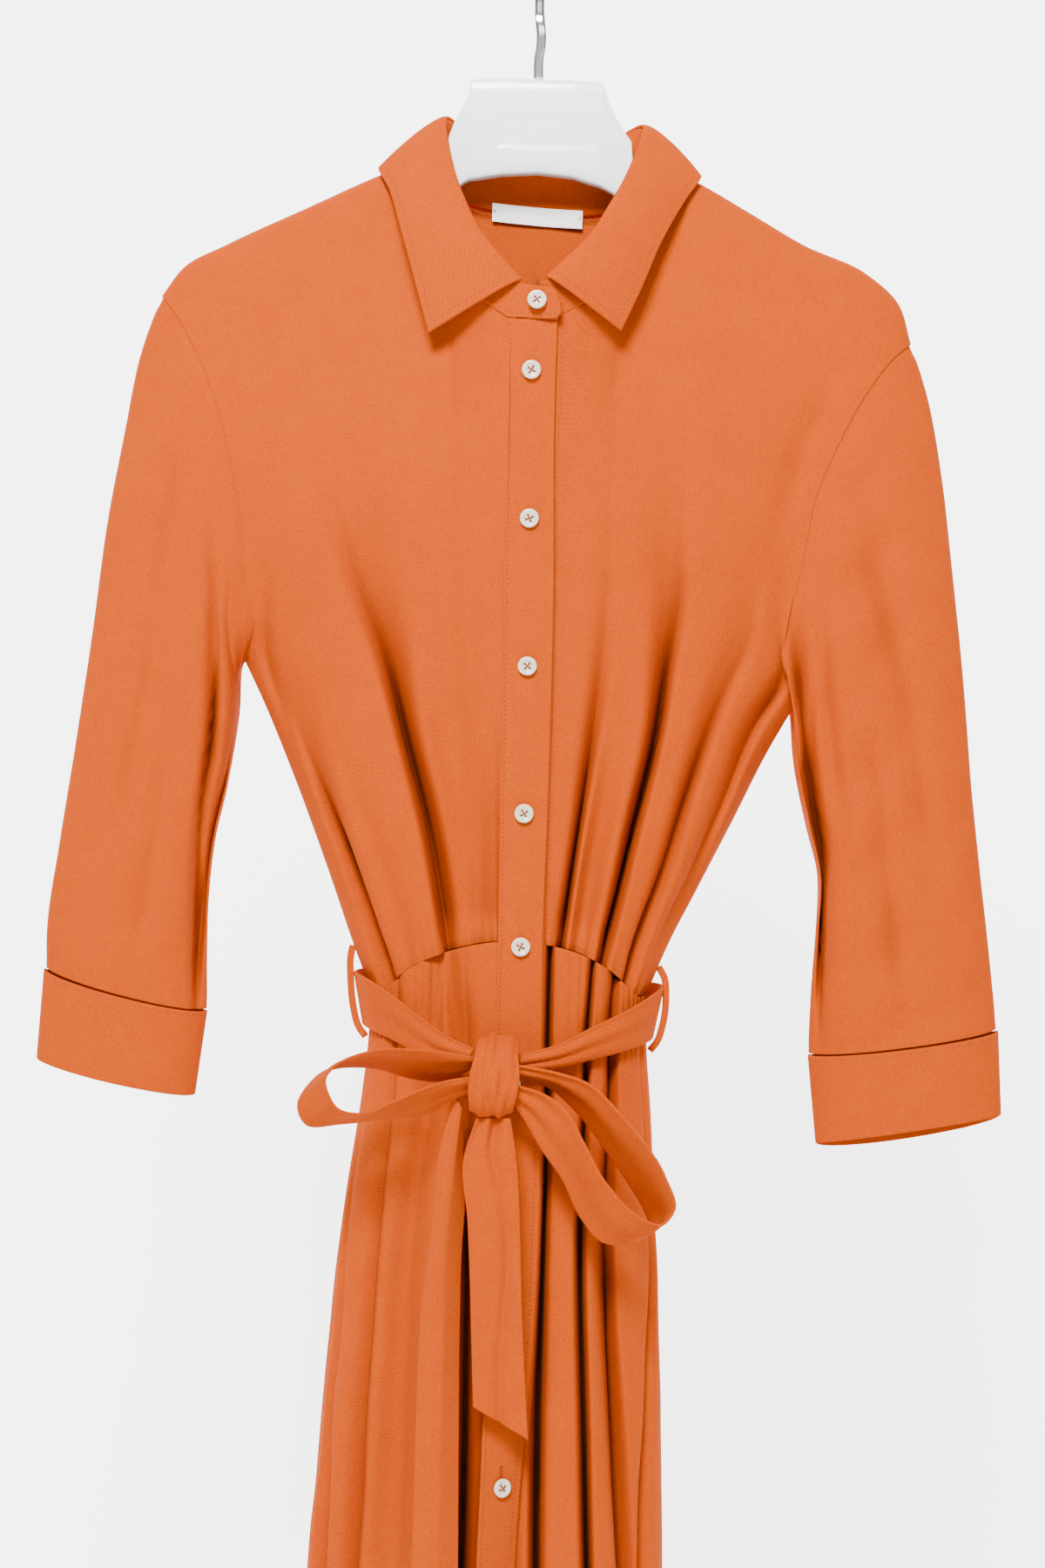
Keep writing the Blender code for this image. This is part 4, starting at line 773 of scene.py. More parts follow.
def addSkirt():
    sizes = {"right": (250, (0.30, 0.70), 0.125), "left": (250, (0.30, 0.70), 0.125),
             "back": (230, (0.60, 0.70), 0.26)}
    gap = 0.0032
    for piece, (columns, flat, area) in sizes.items():
        share, down = np.meshgrid(np.linspace(0, 1, columns), np.linspace(0, 1, 120) ** 1.15)
        low, high = skirtStops(piece, down)
        angle = low + gap + (high - low - 2 * gap) * share
        name = "skirt_behind" if piece == "back" else "skirt_" + piece
        node = "skirt_back" if piece == "back" else "skirt_front_" + piece
        grid = skirtSurface(piece, angle, down)
        panels["skirt_" + piece] = grid
        cloth = putCloth(name, grid, 0.9, nodes=[node])


# sleeves and cuffs
sleeves = {
    "outer": {
        "right": ((-219, -221), (-230, -255), (-238, -300), (-247, -355), (-254, -420), (-262, -485),
                  (-270, -545), (-276, -596), (-276, -619)),
        "left": ((225, -238), (235, -268), (245, -317), (252, -368), (261, -440), (267, -500),
                 (274, -555), (280, -600), (285, -641))},
    "inner": {
        "right": ((-165, -434), (-171, -455), (-170, -480), (-173, -510), (-179, -540), (-182, -575),
                  (-182, -610), (-181, -641)),
        "left": ((165, -448), (168, -475), (168, -500), (173, -530), (179, -556), (178, -585),
                 (176, -620), (175, -658))},
    "depth": ((25, 0), (27, -2), (24, -4), (20, -6)),
    "intoCuff": 2.4, "slimmer": 0.012, "narrower": 0.25,
    "cuff": {
        "right": ((-277, -620, -181, -642, 4, 3, 20), (-280, -673, -187, -692, 3, 3, 19)),
        "left": ((286, -642, 175, -659, 3, 3, 20), (289, -692, 181, -711, 0, 8, 18))},
    # path (down, across), face, start, stop, depth, half width, lean
    "creases": {
        "right": (
            (((0.0, 0.60), (0.3, 0.74), (0.55, 0.83), (0.8, 0.90), (1.0, 0.94)), "front", 0.18, 1.05, 13,
             0.035, 1.6),
            (((0.0, 0.93), (0.4, 0.94), (0.7, 0.95), (1.0, 0.97)), "front", 0.0, 0.9, 15, 0.065, 1.1),
            (((0.0, 0.22), (0.35, 0.27), (1.0, 0.32)), "front", 0.02, 0.85, 5.0, 0.12, 1.0),
            (((0.0, 0.48), (0.2, 0.62), (0.45, 0.84), (1.0, 0.9)), "front", 0.03, 0.5, 6.0, 0.07, 1.3),
            (((0.0, 0.55), (0.12, 0.80), (0.2, 0.90), (0.3, 0.97), (1.0, 1.0)), "front", 0.05, 0.5, 6,
             0.035, 1.0),
            (((0.0, 0.95), (0.08, 0.93), (0.16, 0.90), (1.0, 0.9)), "front", 0.02, 0.22, 7, 0.03, 0.7),
            (((0.0, 0.55), (0.6, 0.52), (1.0, 0.55)), "front", 0.35, 1.0, 3.5, 0.09, 1.0),
            (((0.0, 0.40), (1.0, 0.55)), "back", 0.1, 0.9, 8, 0.08, 1.0),
            (((0.0, 0.75), (1.0, 0.85)), "back", 0.2, 0.9, 6, 0.05, 1.0)),
        "left": (
            (((0.0, 0.62), (0.3, 0.78), (0.55, 0.87), (0.8, 0.92), (1.0, 0.95)), "front", 0.12, 1.0, 8,
             0.034, 1.5),
            (((0.0, 0.80), (0.25, 0.83), (0.4, 0.855), (0.6, 0.90), (1.0, 0.95)), "front", -0.05, 0.85,
             15, 0.055, 1.1),
            (((0.0, 0.35), (0.35, 0.30), (1.0, 0.22)), "front", 0.03, 0.8, 5.0, 0.10, 1.0),
            (((0.0, 0.62), (0.25, 0.66), (0.45, 0.72), (1.0, 0.8)), "front", 0.05, 0.55, 6.0, 0.06, 1.2),
            (((0.0, 0.92), (0.08, 0.90), (0.16, 0.92), (1.0, 0.95)), "front", 0.02, 0.25, 7, 0.03, 0.8),
            (((0.0, 0.5), (0.6, 0.48), (1.0, 0.52)), "front", 0.3, 1.0, 4.0, 0.09, 1.0),
            (((0.0, 0.40), (1.0, 0.55)), "back", 0.1, 0.9, 8, 0.08, 1.0),
            (((0.0, 0.75), (1.0, 0.85)), "back", 0.2, 0.9, 6, 0.05, 1.0))},
}


def cuffRing(side, turn, level):
    ring = np.moveaxis(smoothCurve((0.0, 1.0), np.asarray(sleeves["cuff"][side], float), level), -1, 0)
    outerX, outerZ, innerX, innerZ, frontDrop, backDrop, depth = ring
    across = (1 - np.cos(turn)) / 2
    drop = np.where(np.sin(turn) >= 0, frontDrop, backDrop) * np.abs(np.sin(turn))
    x = outerX + (innerX - outerX) * across
    z = outerZ + (innerZ - outerZ) * across - drop
    y = sleeves["depth"][-1][1] - depth * np.sin(turn)
    return np.stack((x, y, z), axis=-1)


def sleeveSurface(side, turn, down):
    across = (1 - np.cos(turn)) / 2
    top = along(body["armhole"][side], across)
    lift = np.array((0.0, -sleeves["intoCuff"]))
    bottom = cuffRing(side, turn, np.zeros_like(turn))[..., [0, 2]] + lift
    ends = cuffRing(side, np.array((0.0, math.pi)), np.zeros(2))[:, [0, 2]] + lift
    outer = along(sleeves["outer"][side], down)
    inner = along(sleeves["inner"][side], down)
    a, b = across[..., None], down[..., None]
    corners = ((1 - b) * ((1 - a) * np.array(sleeves["outer"][side][0])
                          + a * np.array(sleeves["inner"][side][0]))
               + b * ((1 - a) * ends[0] + a * ends[1]))
    flat = (1 - b) * top + b * bottom + (1 - a) * outer + a * inner - corners
    depth, middle = np.moveaxis(smoothCurve((0.0, 0.33, 0.67, 1.0), sleeves["depth"], down), -1, 0)
    front = np.sin(turn) >= 0
    press = np.zeros_like(across)
    for path, face, first, last, full, half, lean in sleeves["creases"][side]:
        place = pathAt(path, down)
        grown = rise(down, first, first + 0.25) * (1 - rise(down, last - 0.2, last + 0.05))
        off = across - place
        wide = np.where(off > 0, half * lean, half / lean)
        shape = full * grown * np.exp(-(off / wide) ** 2) * rise(np.abs(np.sin(turn)), 0.0, 0.5)
        press = press + np.where(front == (face == "front"), shape * (1 if face == "front" else -1), 0.0)
    y = middle - depth * np.sin(turn) + press
    points = np.stack((flat[..., 0], y, flat[..., 1]), axis=-1)
    wave = ripple(points, 21 if side == "left" else 22, 55.0, 0.9) * rise(down, 0.02, 0.2)
    points[..., 1] += wave * np.abs(np.sin(turn)) ** 0.5 * (1 - rise(down, 0.96, 1.0))
    sign = 1.0 if side == "left" else -1.0
    tucked = 1 - rise(down, 0.0, 0.03)
    points[..., 0] -= sign * 1.3 * tucked
    points[..., 1] *= 1 - 0.035 * tucked
    points[..., 2] -= 0.5 * tucked * (1 - across)
    under = rise(down, 0.965, 0.99)
    points[..., 1] = middle + (points[..., 1] - middle) * (1 - sleeves["slimmer"] * under)
    points[..., 0] -= sign * sleeves["narrower"] * under * (1 - 2 * across)
    return points


def addSleeves():
    turns = np.linspace(0, 2 * math.pi, 141)
    for side in ("right", "left"):
        turn, down = np.meshgrid(turns, np.linspace(0, 1, 130))
        sleeve = putCloth("arm_" + side, sleeveSurface(side, turn, down), 0.9, nodes=["sleeve_" + side],
                          ring=True)
        turn, level = np.meshgrid(turns, np.linspace(0, 1, 26))
        cuff = putCloth("wrist_" + side, cuffRing(side, turn, level), 1.3, nodes=["cuff_" + side],
                        ring=True)


# the collar: seam x y z, roll line x y z, outer edge x y z from centre front to centre back
collar = {
    "sections": {
        "right": (
            (-14.5, -60, -237, -6, -64, -216, -59, -55, -246),
            (-35, -54, -222, -26, -55, -193, -67, -50, -218),
            (-51, -38, -188, -41, -41, -165, -77, -38, -184),
            (-57, -18, -152, -50, -20, -135, -85, -19, -158),
            (-57, 0, -131, -53, 2, -111, -92, -1, -142),
            (-44, 16, -157, -38, 19, -117, -62, 37, -158),
            (2, 25, -163, 2, 24, -127, 2, 37, -176)),
        "left": (
            (17, -57, -235, 8, -64, -214, 52, -55, -242),
            (37, -54, -222, 28, -55, -193, 62, -50, -219),
            (54, -38, -190, 44, -41, -167, 74, -38, -188),
            (62, -18, -154, 57, -20, -137, 88, -19, -160),
            (63, 0, -131, 63, 2, -113, 98, -1, -142),
            (50, 16, -160, 43, 19, -119, 68, 37, -160),
            (2, 25, -163, 2, 24, -127, 2, 37, -176))},
    "standEnds": (
        ((17.2, -64.5, -231.5, 16.6, -66, -227.5), (16.4, -64.4, -234.2, 15.6, -66, -224),
         (14.6, -64.2, -236.2, 13.6, -66, -221.2), (11.5, -64, -237.2, 11, -66, -219)),
        ((-9, -58.5, -237, -7, -60, -218),)),
    "rollRise": 4.0, "rollOut": 5.0, "clear": 1.9, "neckCentre": 2.0,
}


def collarRows():
    right = np.asarray(collar["sections"]["right"], float)
    left = np.asarray(collar["sections"]["left"], float)[::-1]
    return np.concatenate((right, left[1:]))


def collarAt(share):
    rows = collarRows()
    gaps = np.linalg.norm(np.diff(rows[:, :3], axis=0), axis=1)
    knots = np.concatenate(([0.0], np.cumsum(gaps)))
    found = smoothCurve(knots / knots[-1], rows, share)
    return found[..., 0:3], found[..., 3:6], found[..., 6:9]


def standGrid(count, levels):
    seam, roll, _ = collarAt(np.linspace(0.0, 1.0, count))
    up = unit(roll - seam)
    seam = seam + up * (1.0 + 1.2 * rise(seam[:, 1:2], -45.0, -25.0))
    roll = roll - up * 1.2
    first, last = (np.asarray(end, float) for end in collar["standEnds"])
    low = np.concatenate((first[:, :3], seam, last[:, :3]))
    high = np.concatenate((first[:, 3:], roll, last[:, 3:]))
    level = np.linspace(0, 1, levels)[:, None, None]
    return low * (1 - level) + high * level


def laidOnPanels(grid):
    across, down = np.meshgrid(np.linspace(0.0, 1.0, 140), np.linspace(0.0, 0.4, 140))
    flat = grid.reshape(-1, 3)
    for side, sign in (("right", -1), ("left", 1)):
        for back, face in ((False, -1), (True, 1)):
            cloud = bodiceBase(side, across, down, back).reshape(-1, 3)
            mine = np.where((flat[:, 0] * sign >= 0) & (flat[:, 1] * face >= 0))[0]
            for index in mine:
                point = flat[index]
                apart = (cloud[:, 0] - point[0])**2 + (cloud[:, 2] - point[2])**2
                nearest = np.argmin(apart)
                if apart[nearest] < 16.0:
                    point[1] = face * max(point[1] * face, cloud[nearest, 1] * face + collar["clear"])
    return grid


def evened(grid, passes):
    for _ in range(passes):
        inner = (grid[:-2, 1:-1] + grid[2:, 1:-1] + grid[1:-1, :-2] + grid[1:-1, 2:]) / 4
        grid[1:-1, 1:-1] = grid[1:-1, 1:-1] * 0.4 + inner * 0.6
    return grid


def fallGrid(count, levels):
    seam, roll, edge = collarAt(np.linspace(0.0, 1.0, count))
    up = unit(roll - seam)
    away = edge - roll
    outward = unit((roll - np.array((collar["neckCentre"], 0.0, 0.0))) * np.array((1.0, 1.0, 0.0)))
    first = roll + up * collar["rollRise"] + outward * collar["rollOut"]
    second = roll + away * 0.5 + outward * collar["rollOut"] * 1.4
    v = np.linspace(0.0, 1.0, levels)[:, None, None]
    grid = roll * (1 - v)**3 + first * 3 * v * (1 - v)**2 + second * 3 * v**2 * (1 - v) + edge * v**3
    low = int(levels * 0.3)
    grid[low:] = laidOnPanels(grid[low:].copy())
    return evened(grid, 4)


def addCollar():
    stand = putCloth("stand", standGrid(150, 22), 1.7, nodes=["collar_stand"])
    fall = fallGrid(190, 40)
    piece = putCloth("fall", fall, 2.1, nodes=["collar_fall"])
    normals = gridNormals(fall, False)
    hint = fall * np.array((1.0, 1.0, 0.0))
    sign = np.sign((normals * hint).sum())
    normals = normals * sign
    edges = []
    inset = 4.6
    widths = np.linalg.norm(np.diff(fall, axis=0), axis=2)
    depth = np.concatenate((np.zeros((1, fall.shape[1])), np.cumsum(widths, axis=0)))
    lengths = np.concatenate(([0.0], np.cumsum(np.linalg.norm(np.diff(fall[-1], axis=0), axis=1))))
    inside = (lengths > inset) & (lengths < lengths[-1] - inset)
    line, outs = [], []
    for c in np.where(inside)[0]:
        place = depth[-1, c] - inset
        line.append([np.interp(place, depth[:, c], fall[:, c, k]) for k in range(3)])
        outs.append([np.interp(place, depth[:, c], normals[:, c, k]) for k in range(3)])
    edges.append((np.array(line) + np.array(outs) * 1.02, np.array(outs), 2.7, 0.66))
    for end in (0, -1):
        step = 1 if end == 0 else -1
        line, outs = [], []
        for r in range(4, fall.shape[0]):
            row = fall[r, ::step][:24]
            run = np.concatenate(([0.0], np.cumsum(np.linalg.norm(np.diff(row, axis=0), axis=1))))
            if depth[r, end] > depth[-1, end] - inset:
                break
            line.append([np.interp(inset, run, row[:, k]) for k in range(3)])
            outs.append([np.interp(inset, run, normals[r, ::step][:24][:, k]) for k in range(3)])
        edges.append((np.array(line) + np.array(outs) * 1.02, np.array(outs), 2.7, 0.66))
    putStitches("collar stitching", edges)


# the front bands
band = {"crown": 0.6, "top": -236.9, "thick": 1.6, "stitchIn": 1.9}


def bandPoint(share, z):
    seamX, seamY, freeX, freeY = np.moveaxis(byHeight(body["opening"], z), -1, 0)
    x = seamX + body["seamGap"] / 2 + (freeX - seamX) * share
    y = seamY + (freeY - seamY) * share - 0.7
    return x, y - band["crown"] * np.sin(math.pi * share)


def addBands():
    share, z = np.meshgrid(np.linspace(0, 1, 26), np.linspace(band["top"], body["hem"], 330))
    x, y = bandPoint(share, z)
    piece = putCloth("top_band", np.stack((x, y, z), axis=-1), band["thick"], nodes=["button_band"])
    share, z = np.meshgrid(np.linspace(0.12, 1.0, 16), np.linspace(band["top"], body["hem"], 260))
    x, y = bandPoint(share, z)
    behind = np.stack((x + 0.9 * share, y + body["underStep"] - 0.4, z), axis=-1)
    piece = putCloth("lower_band", behind, band["thick"], nodes=["under_band"])
    z = np.linspace(band["top"] - 2, body["hem"] + 6, 400)
    seamX, seamY, freeX, freeY = np.moveaxis(byHeight(body["opening"], z), -1, 0)
    runs = []
    for inside, pitch in ((band["stitchIn"], 2.7),):
        share = inside / (freeX - seamX)
        x, y = bandPoint(share, z)
        outs = np.stack(((freeY - seamY) / (freeX - seamX), -np.ones_like(z), np.zeros_like(z)), axis=-1)
        runs.append((np.stack((x, y, z), axis=-1) + unit(outs) * sewing["onStand"], outs, pitch, 0.62))
    low = z[z < -690]
    seamX, seamY, freeX, freeY = np.moveaxis(byHeight(body["opening"], low), -1, 0)
    x, y = bandPoint(1 - 3.6 / (freeX - seamX), low)
    outs = np.stack(((freeY - seamY) / (freeX - seamX), -np.ones_like(low), np.zeros_like(low)), axis=-1)
    runs.append((np.stack((x, y, low), axis=-1) + unit(outs) * sewing["onStand"], outs, 2.7, 0.62))
    panel = panels["front_left"]
    outs = outwards(panel, -1)
    heights = panel[:, 0, 2]
    for far, near in ((4.6, 1.9), (2.6, 0.9)):
        distances = near + (far - near) * rise(heights, -330, -262)
        line = besideEdge(panel, distances)
        side = outs[:, 2]
        chosen = heights < -240
        runs.append(((line + side * sewing["onCloth"])[chosen], side[chosen], 2.7, 0.62))
    putStitches("band stitching", runs)


def addSeamStitches():
    runs = []
    for name in ("front_right", "front_left"):
        panel = panels[name]
        outs = outwards(panel, -1)
        line = panel[-2] + outs[-2] * sewing["onCloth"]
        runs.append((line, outs[-2], 2.6, 0.6))
    for name, toY in (("skirt_right", -1), ("skirt_left", -1), ("skirt_back", 1)):
        panel = panels[name]
        outs = outwards(panel, toY)
        runs.append((panel[-4] + outs[-4] * sewing["onCloth"], outs[-4], 3.0, 0.6))
    for side in ("right", "left"):
        turn = np.linspace(0, 2 * math.pi, 161)
        line = cuffRing(side, turn, np.full_like(turn, 0.05))
        away = line - line.mean(axis=0)
        outs = unit(away * np.array((0.15, 1.0, 0.0)))
        runs.append((line + outs * 0.6, outs, 2.6, 0.6))
    stand = standGrid(150, 22)
    normals = outwards(stand, -1)
    front = stand[0, :, 0] > -40
    front = front & (stand[0, :, 1] < 0) & (np.arange(stand.shape[1]) < 40)
    level = 3
    line, outs = stand[level][front][2:], normals[level][front][2:]
    runs.append((line + outs * sewing["onStand"], outs, 2.4, 0.6))
    runs.append((stand[3:19, 3] + normals[3:19, 3] * sewing["onStand"], normals[3:19, 3], 2.4, 0.6))
    seam = collarAt(np.linspace(0, 1, 240))[0]
    behind = (seam[:, 1] > 6) & (seam[:, 2] < -140)
    line = seam[behind] + np.array((0.0, -1.6, -1.2))
    toFront = np.tile(np.array((0.0, -1.0, 0.0)), (len(line), 1))
    for drop in (0.0, -1.3):
        runs.append((line + np.array((0.0, 0.0, drop)), toFront, 1.7, 0.75))
    putStitches("seam stitching", runs)


# buttons: four holes, a rim, crossed threads
buttons = {
    "heights": (-227, -266, -351, -436, -521, -598, -677, -755, -832, -909, -987, -1065, -1143),
    "radius": 5.5, "thick": 2.3, "hole": 0.75, "spread": 1.35, "standPlace": (3.0, -65.2),
    "profile": ((0.0, 0.62), (0.35, 0.62), (0.52, 0.66), (0.62, 0.80), (0.74, 0.98), (0.86, 1.0),
                (0.95, 0.86), (1.0, 0.62), (0.99, 0.36), (0.90, 0.1), (0.80, 0.0), (0.0, 0.0)),
    "aside": {-677: 0.16, -755: 0.14, -832: 0.10},
    "tilt": (8, -14, 22, -6, 12, -20, 5, 16, -9, 10, -4, 18, -12),
}


def makeButton():
    turns = 40
    profile = np.asarray(buttons["profile"], float)
    rings = []
    for radius, height in profile[1:-1]:
        angle = np.arange(turns) * 2 * math.pi / turns
        rings.append(np.stack((np.cos(angle) * radius * buttons["radius"],
                               np.sin(angle) * radius * buttons["radius"],
                               np.full(turns, (height - 0.5) * buttons["thick"])), axis=-1))
    points = np.concatenate(rings)
    faces = []
    for r in range(len(rings) - 1):
        for c in range(turns):
            n = (c + 1) % turns
            faces.append((r * turns + c, (r + 1) * turns + c, (r + 1) * turns + n, r * turns + n))
    faces.append(tuple(range(turns)))
    faces.append(tuple(reversed(range((len(rings) - 1) * turns, len(rings) * turns))))
    mesh = bpy.data.meshes.new("button blank")
    mesh.from_pydata((points * mm).tolist(), [], faces)
    blank = bpy.data.objects.new("button blank", mesh)
    bpy.context.scene.collection.objects.link(blank)
    for a, b in ((1, 1), (1, -1), (-1, 1), (-1, -1)):
        bpy.ops.object.select_all(action="DESELECT")
        bpy.ops.mesh.primitive_cylinder_add(vertices=14, radius=buttons["hole"] * mm, depth=0.02,
                                            location=(a * buttons["spread"] * mm,
                                                      b * buttons["spread"] * mm, 0))
        drill = bpy.context.object
        bpy.ops.object.select_all(action="DESELECT")
        bpy.context.view_layer.objects.active = blank
        blank.select_set(True)
        cut = blank.modifiers.new("hole", "BOOLEAN")
        cut.operation = "DIFFERENCE"
        cut.solver = "EXACT"
        cut.object = drill
        bpy.ops.object.modifier_apply(modifier=cut.name)
        bpy.data.objects.remove(drill, do_unlink=True)
    return blank


def buttonPlaces():
    places = []
    for index, z in enumerate(buttons["heights"]):
        if index == 0:
            surface = np.array((*buttons["standPlace"], z))
            normal = unit(np.array((0.0, -1.0, 0.15)))
        else:
            seamX, seamY, freeX, freeY = byHeight(body["opening"], np.array(float(z)))
            x, y = bandPoint(0.5 - buttons["aside"].get(z, 0.0), np.array(float(z)))
            surface = np.array((float(x), float(y), z))
            normal = unit(np.array((freeY - seamY, -(freeX - seamX), 0.0)))
        places.append((surface, normal))
    return places


def addButtons():
    blank = makeButton()
    points = np.empty(len(blank.data.vertices) * 3, np.float32)
    blank.data.vertices.foreach_get("co", points)
    points = points.reshape(-1, 3)
    holeRuns = []
    threads = []
    for index, (surface, normal) in enumerate(buttonPlaces()):
        tilt = math.radians(buttons["tilt"][index])
        across = unit(np.cross(normal, np.array((0.0, 0.0, 1.0))))
        upright = np.cross(across, normal)
        first = across * math.cos(tilt) + upright * math.sin(tilt)
        second = np.cross(normal, first)
        centre = surface + normal * (0.9 + 0.6 + buttons["thick"] / 2)
        mesh = blank.data.copy()
        mesh.name = "disc_%02d" % (index + 1)
        piece = bpy.data.objects.new(mesh.name, mesh)
        bpy.context.scene.collection.objects.link(piece)
        moved = centre * mm + points[:, :1] * first + points[:, 1:2] * second + points[:, 2:] * normal
        mesh.vertices.foreach_set("co", moved.astype(np.float32).reshape(-1))
        mesh.update()
        dress(piece, "shell", ["button_%02d" % (index + 1)])
        mesh.set_sharp_from_angle(angle=math.radians(50))
        s = buttons["spread"]
        face = centre + normal * (buttons["thick"] * 0.12)
        for a, b in ((1, 1), (1, -1)):
            start = face + first * a * s + second * b * s
            end = face - first * a * s - second * b * s
            lift = normal * (0.45 + 0.15 * a * b)
            line = [start - normal * 1.0, start + lift * 0.6, face + lift, end + lift * 0.6,
                    end - normal * 1.0]
            threads.append(np.array(line))
        # the buttonhole above the button
        low, high = 5.6, 11.6
        for sign in (-1, 1):
            for k in range(9):
                place = surface + upright * (low + (high - low) * k / 8) + across * sign * 0.15
                holeRuns.append((np.array((place, place + across * sign * 0.95)) + normal * 0.86,
                                 np.array((normal, normal)), 0.9, 0.98))
        place = surface + upright * (high + 0.5) + normal * 0.9
        holeRuns.append((np.array((place - across * 1.2, place + across * 1.2)),
                         np.array((normal, normal)), 2.4, 0.98))
    bpy.data.objects.remove(blank, do_unlink=True)
    putTubes("button threads", threads, 0.42, "buttonThread")
    putStitches("buttonholes", holeRuns, 0.55, 0.2)


def putTubes(name, lines, radius, finish="thread"):
    points, faces = [], []
    sides = 7
    for line in lines:
        path = along(line, np.linspace(0, 1, 14))
        heading = unit(np.gradient(path, axis=0))
        aside = unit(np.cross(heading, np.array((0.13, 0.31, 0.94))))
        other = np.cross(heading, aside)
        base = len(points)
        for p, a, b in zip(path, aside, other):
            for k in range(sides):
                turn = 2 * math.pi * k / sides
                points.append(p + (a * math.cos(turn) + b * math.sin(turn)) * radius)
        for r in range(len(path) - 1):
            for c in range(sides):
                n = (c + 1) % sides
                faces.append((base + r * sides + c, base + r * sides + n,
                              base + (r + 1) * sides + n, base + (r + 1) * sides + c))
        faces.append(tuple(base + c for c in reversed(range(sides))))
        faces.append(tuple(base + (len(path) - 1) * sides + c for c in range(sides)))
    name = name.replace(" ", "_")
    mesh = bpy.data.meshes.new(name)
    mesh.from_pydata((np.array(points) * mm).tolist(), [], faces)
    piece = bpy.data.objects.new(name, mesh)
    bpy.context.scene.collection.objects.link(piece)
    return dress(piece, finish)


# the belt
belt = {
    # x, y, z of the middle, width, lean of the top away from the body
    "waist": (
        (-22, -62, -661, 9, 0), (-38, -54, -658, 16, 0), (-54, -43, -651, 22, 1), (-70, -32, -642, 27, 3),
        (-86, -15, -635, 31, 5), (-91.5, 2, -633, 31, 6), (-86, 23, -632, 31, 5), (-61, 38, -632, 31, 3),
        (-32, 45, -633, 31, 2), (-3, 47, -634, 31, 2), (26, 45, -634, 31, 2), (55, 38, -635, 31, 3),
        (79, 23, -636, 31, 5), (85.5, 2, -637, 31, 6), (80, -16, -640, 29, 4), (66, -33, -646, 24, 2),
        (46, -45, -653, 19, 1), (26, -55, -660, 13, 0), (3, -62.9, -664, 9, 0)),
    # near edge, far edge
    "right": (
        (-21, -76.6, -660.2, -21, -68, -667), (-36, -84, -657, -38, -66, -675),
        (-56, -94, -655, -56, -69, -674),
        (-78, -100, -656, -80, -72, -668), (-101, -102, -667, -111, -76, -674),
        (-104, -101, -675, -121, -77, -689),
        (-98, -99, -688, -116, -77, -701), (-84, -97, -692, -97, -76, -700),
        (-66, -93, -685, -72, -74, -697),
        (-48, -88, -677, -48, -70, -694), (-34, -82, -673, -32, -68, -685),
        (-21, -79, -671, -21, -69, -681)),
    "left": (
        (2, -78, -664, 2, -71, -671), (28, -84, -668, 22, -68, -677), (45, -92, -673, 38, -69, -691),
        (62, -99, -688, 52, -72, -708), (78, -103, -706, 66, -74, -727), (88, -104, -722, 77, -75, -744),
        (94, -103, -740, 80, -77, -755), (88, -101, -749, 74, -78, -762), (72, -99, -744, 56, -78, -764),
        (55, -96, -727, 42, -75, -751), (42, -91, -705, 30, -73, -728), (32, -88, -688, 18, -71, -712),
        (18, -84, -679, 9, -70, -697), (2, -80, -675, 2, -70, -686)),
    "wide": (
        (-19, -72, -694.8, 0, -72, -694.8), (-26, -74, -718, 3, -74, -710), (-23, -73, -753, 6, -73, -737),
        (-21, -72, -783, 8, -72, -772), (-19, -72, -822, 10, -72, -812), (-17, -73, -860, 15, -73, -878)),
    # outer edge, crease, inner edge
    "long": (
        (-31, -64, -684, -29, -71, -688, -27, -63, -692), (-39, -66, -710, -32, -73, -712, -27, -62, -714),
        (-42, -66, -744, -36, -75, -745, -25, -61, -746), (-44, -67, -769, -38, -76, -770, -26, -62, -771),
        (-48, -70, -809, -38, -78, -809, -26, -65, -811), (-49, -75, -867, -38, -83, -867, -25, -71, -869),
        (-49, -80, -911, -38, -88, -911, -24, -76, -913), (-49, -85, -957, -38, -92, -957, -23, -81, -959),
        (-49, -87, -990, -37, -94, -995, -23, -84, -1000)),
    "knot": ((-58, -652), (-70, -651), (-80, -657), (-84, -668), (-83, -681), (-77, -691), (-67, -694),
             (-58, -690)),
    "knotReach": (-24.0, 4.5),
    "carriers": {
        "right": ((-98.1, 0, -602), (-99.2, 0, -608), (-98.9, 0, -622), (-97, 0, -638), (-93.5, 0, -650),
                  (-89.2, 0, -656)),
        "left": ((87.5, 0, -610), (91, 0, -616), (92.4, 0, -628), (91, 0, -644), (87.5, 0, -655),
                 (83.6, 0, -660))},
    "thick": 1.6,
}


def ribbon(near, far, count, bow=0.0, out=None):
    share = np.linspace(0, 1, count)[:, None, None]
    grid = near * (1 - share) + far * share
    if out is not None:
        grid = grid + out * (bow * np.sin(math.pi * share))
    return grid


def closedCurve(loop, count):
    wrapped = np.concatenate((loop[-2:], loop, loop[:3]))
    knots = np.arange(len(wrapped), dtype=float) - 2
    return smoothCurve(knots, wrapped, np.arange(count) * len(loop) / count)


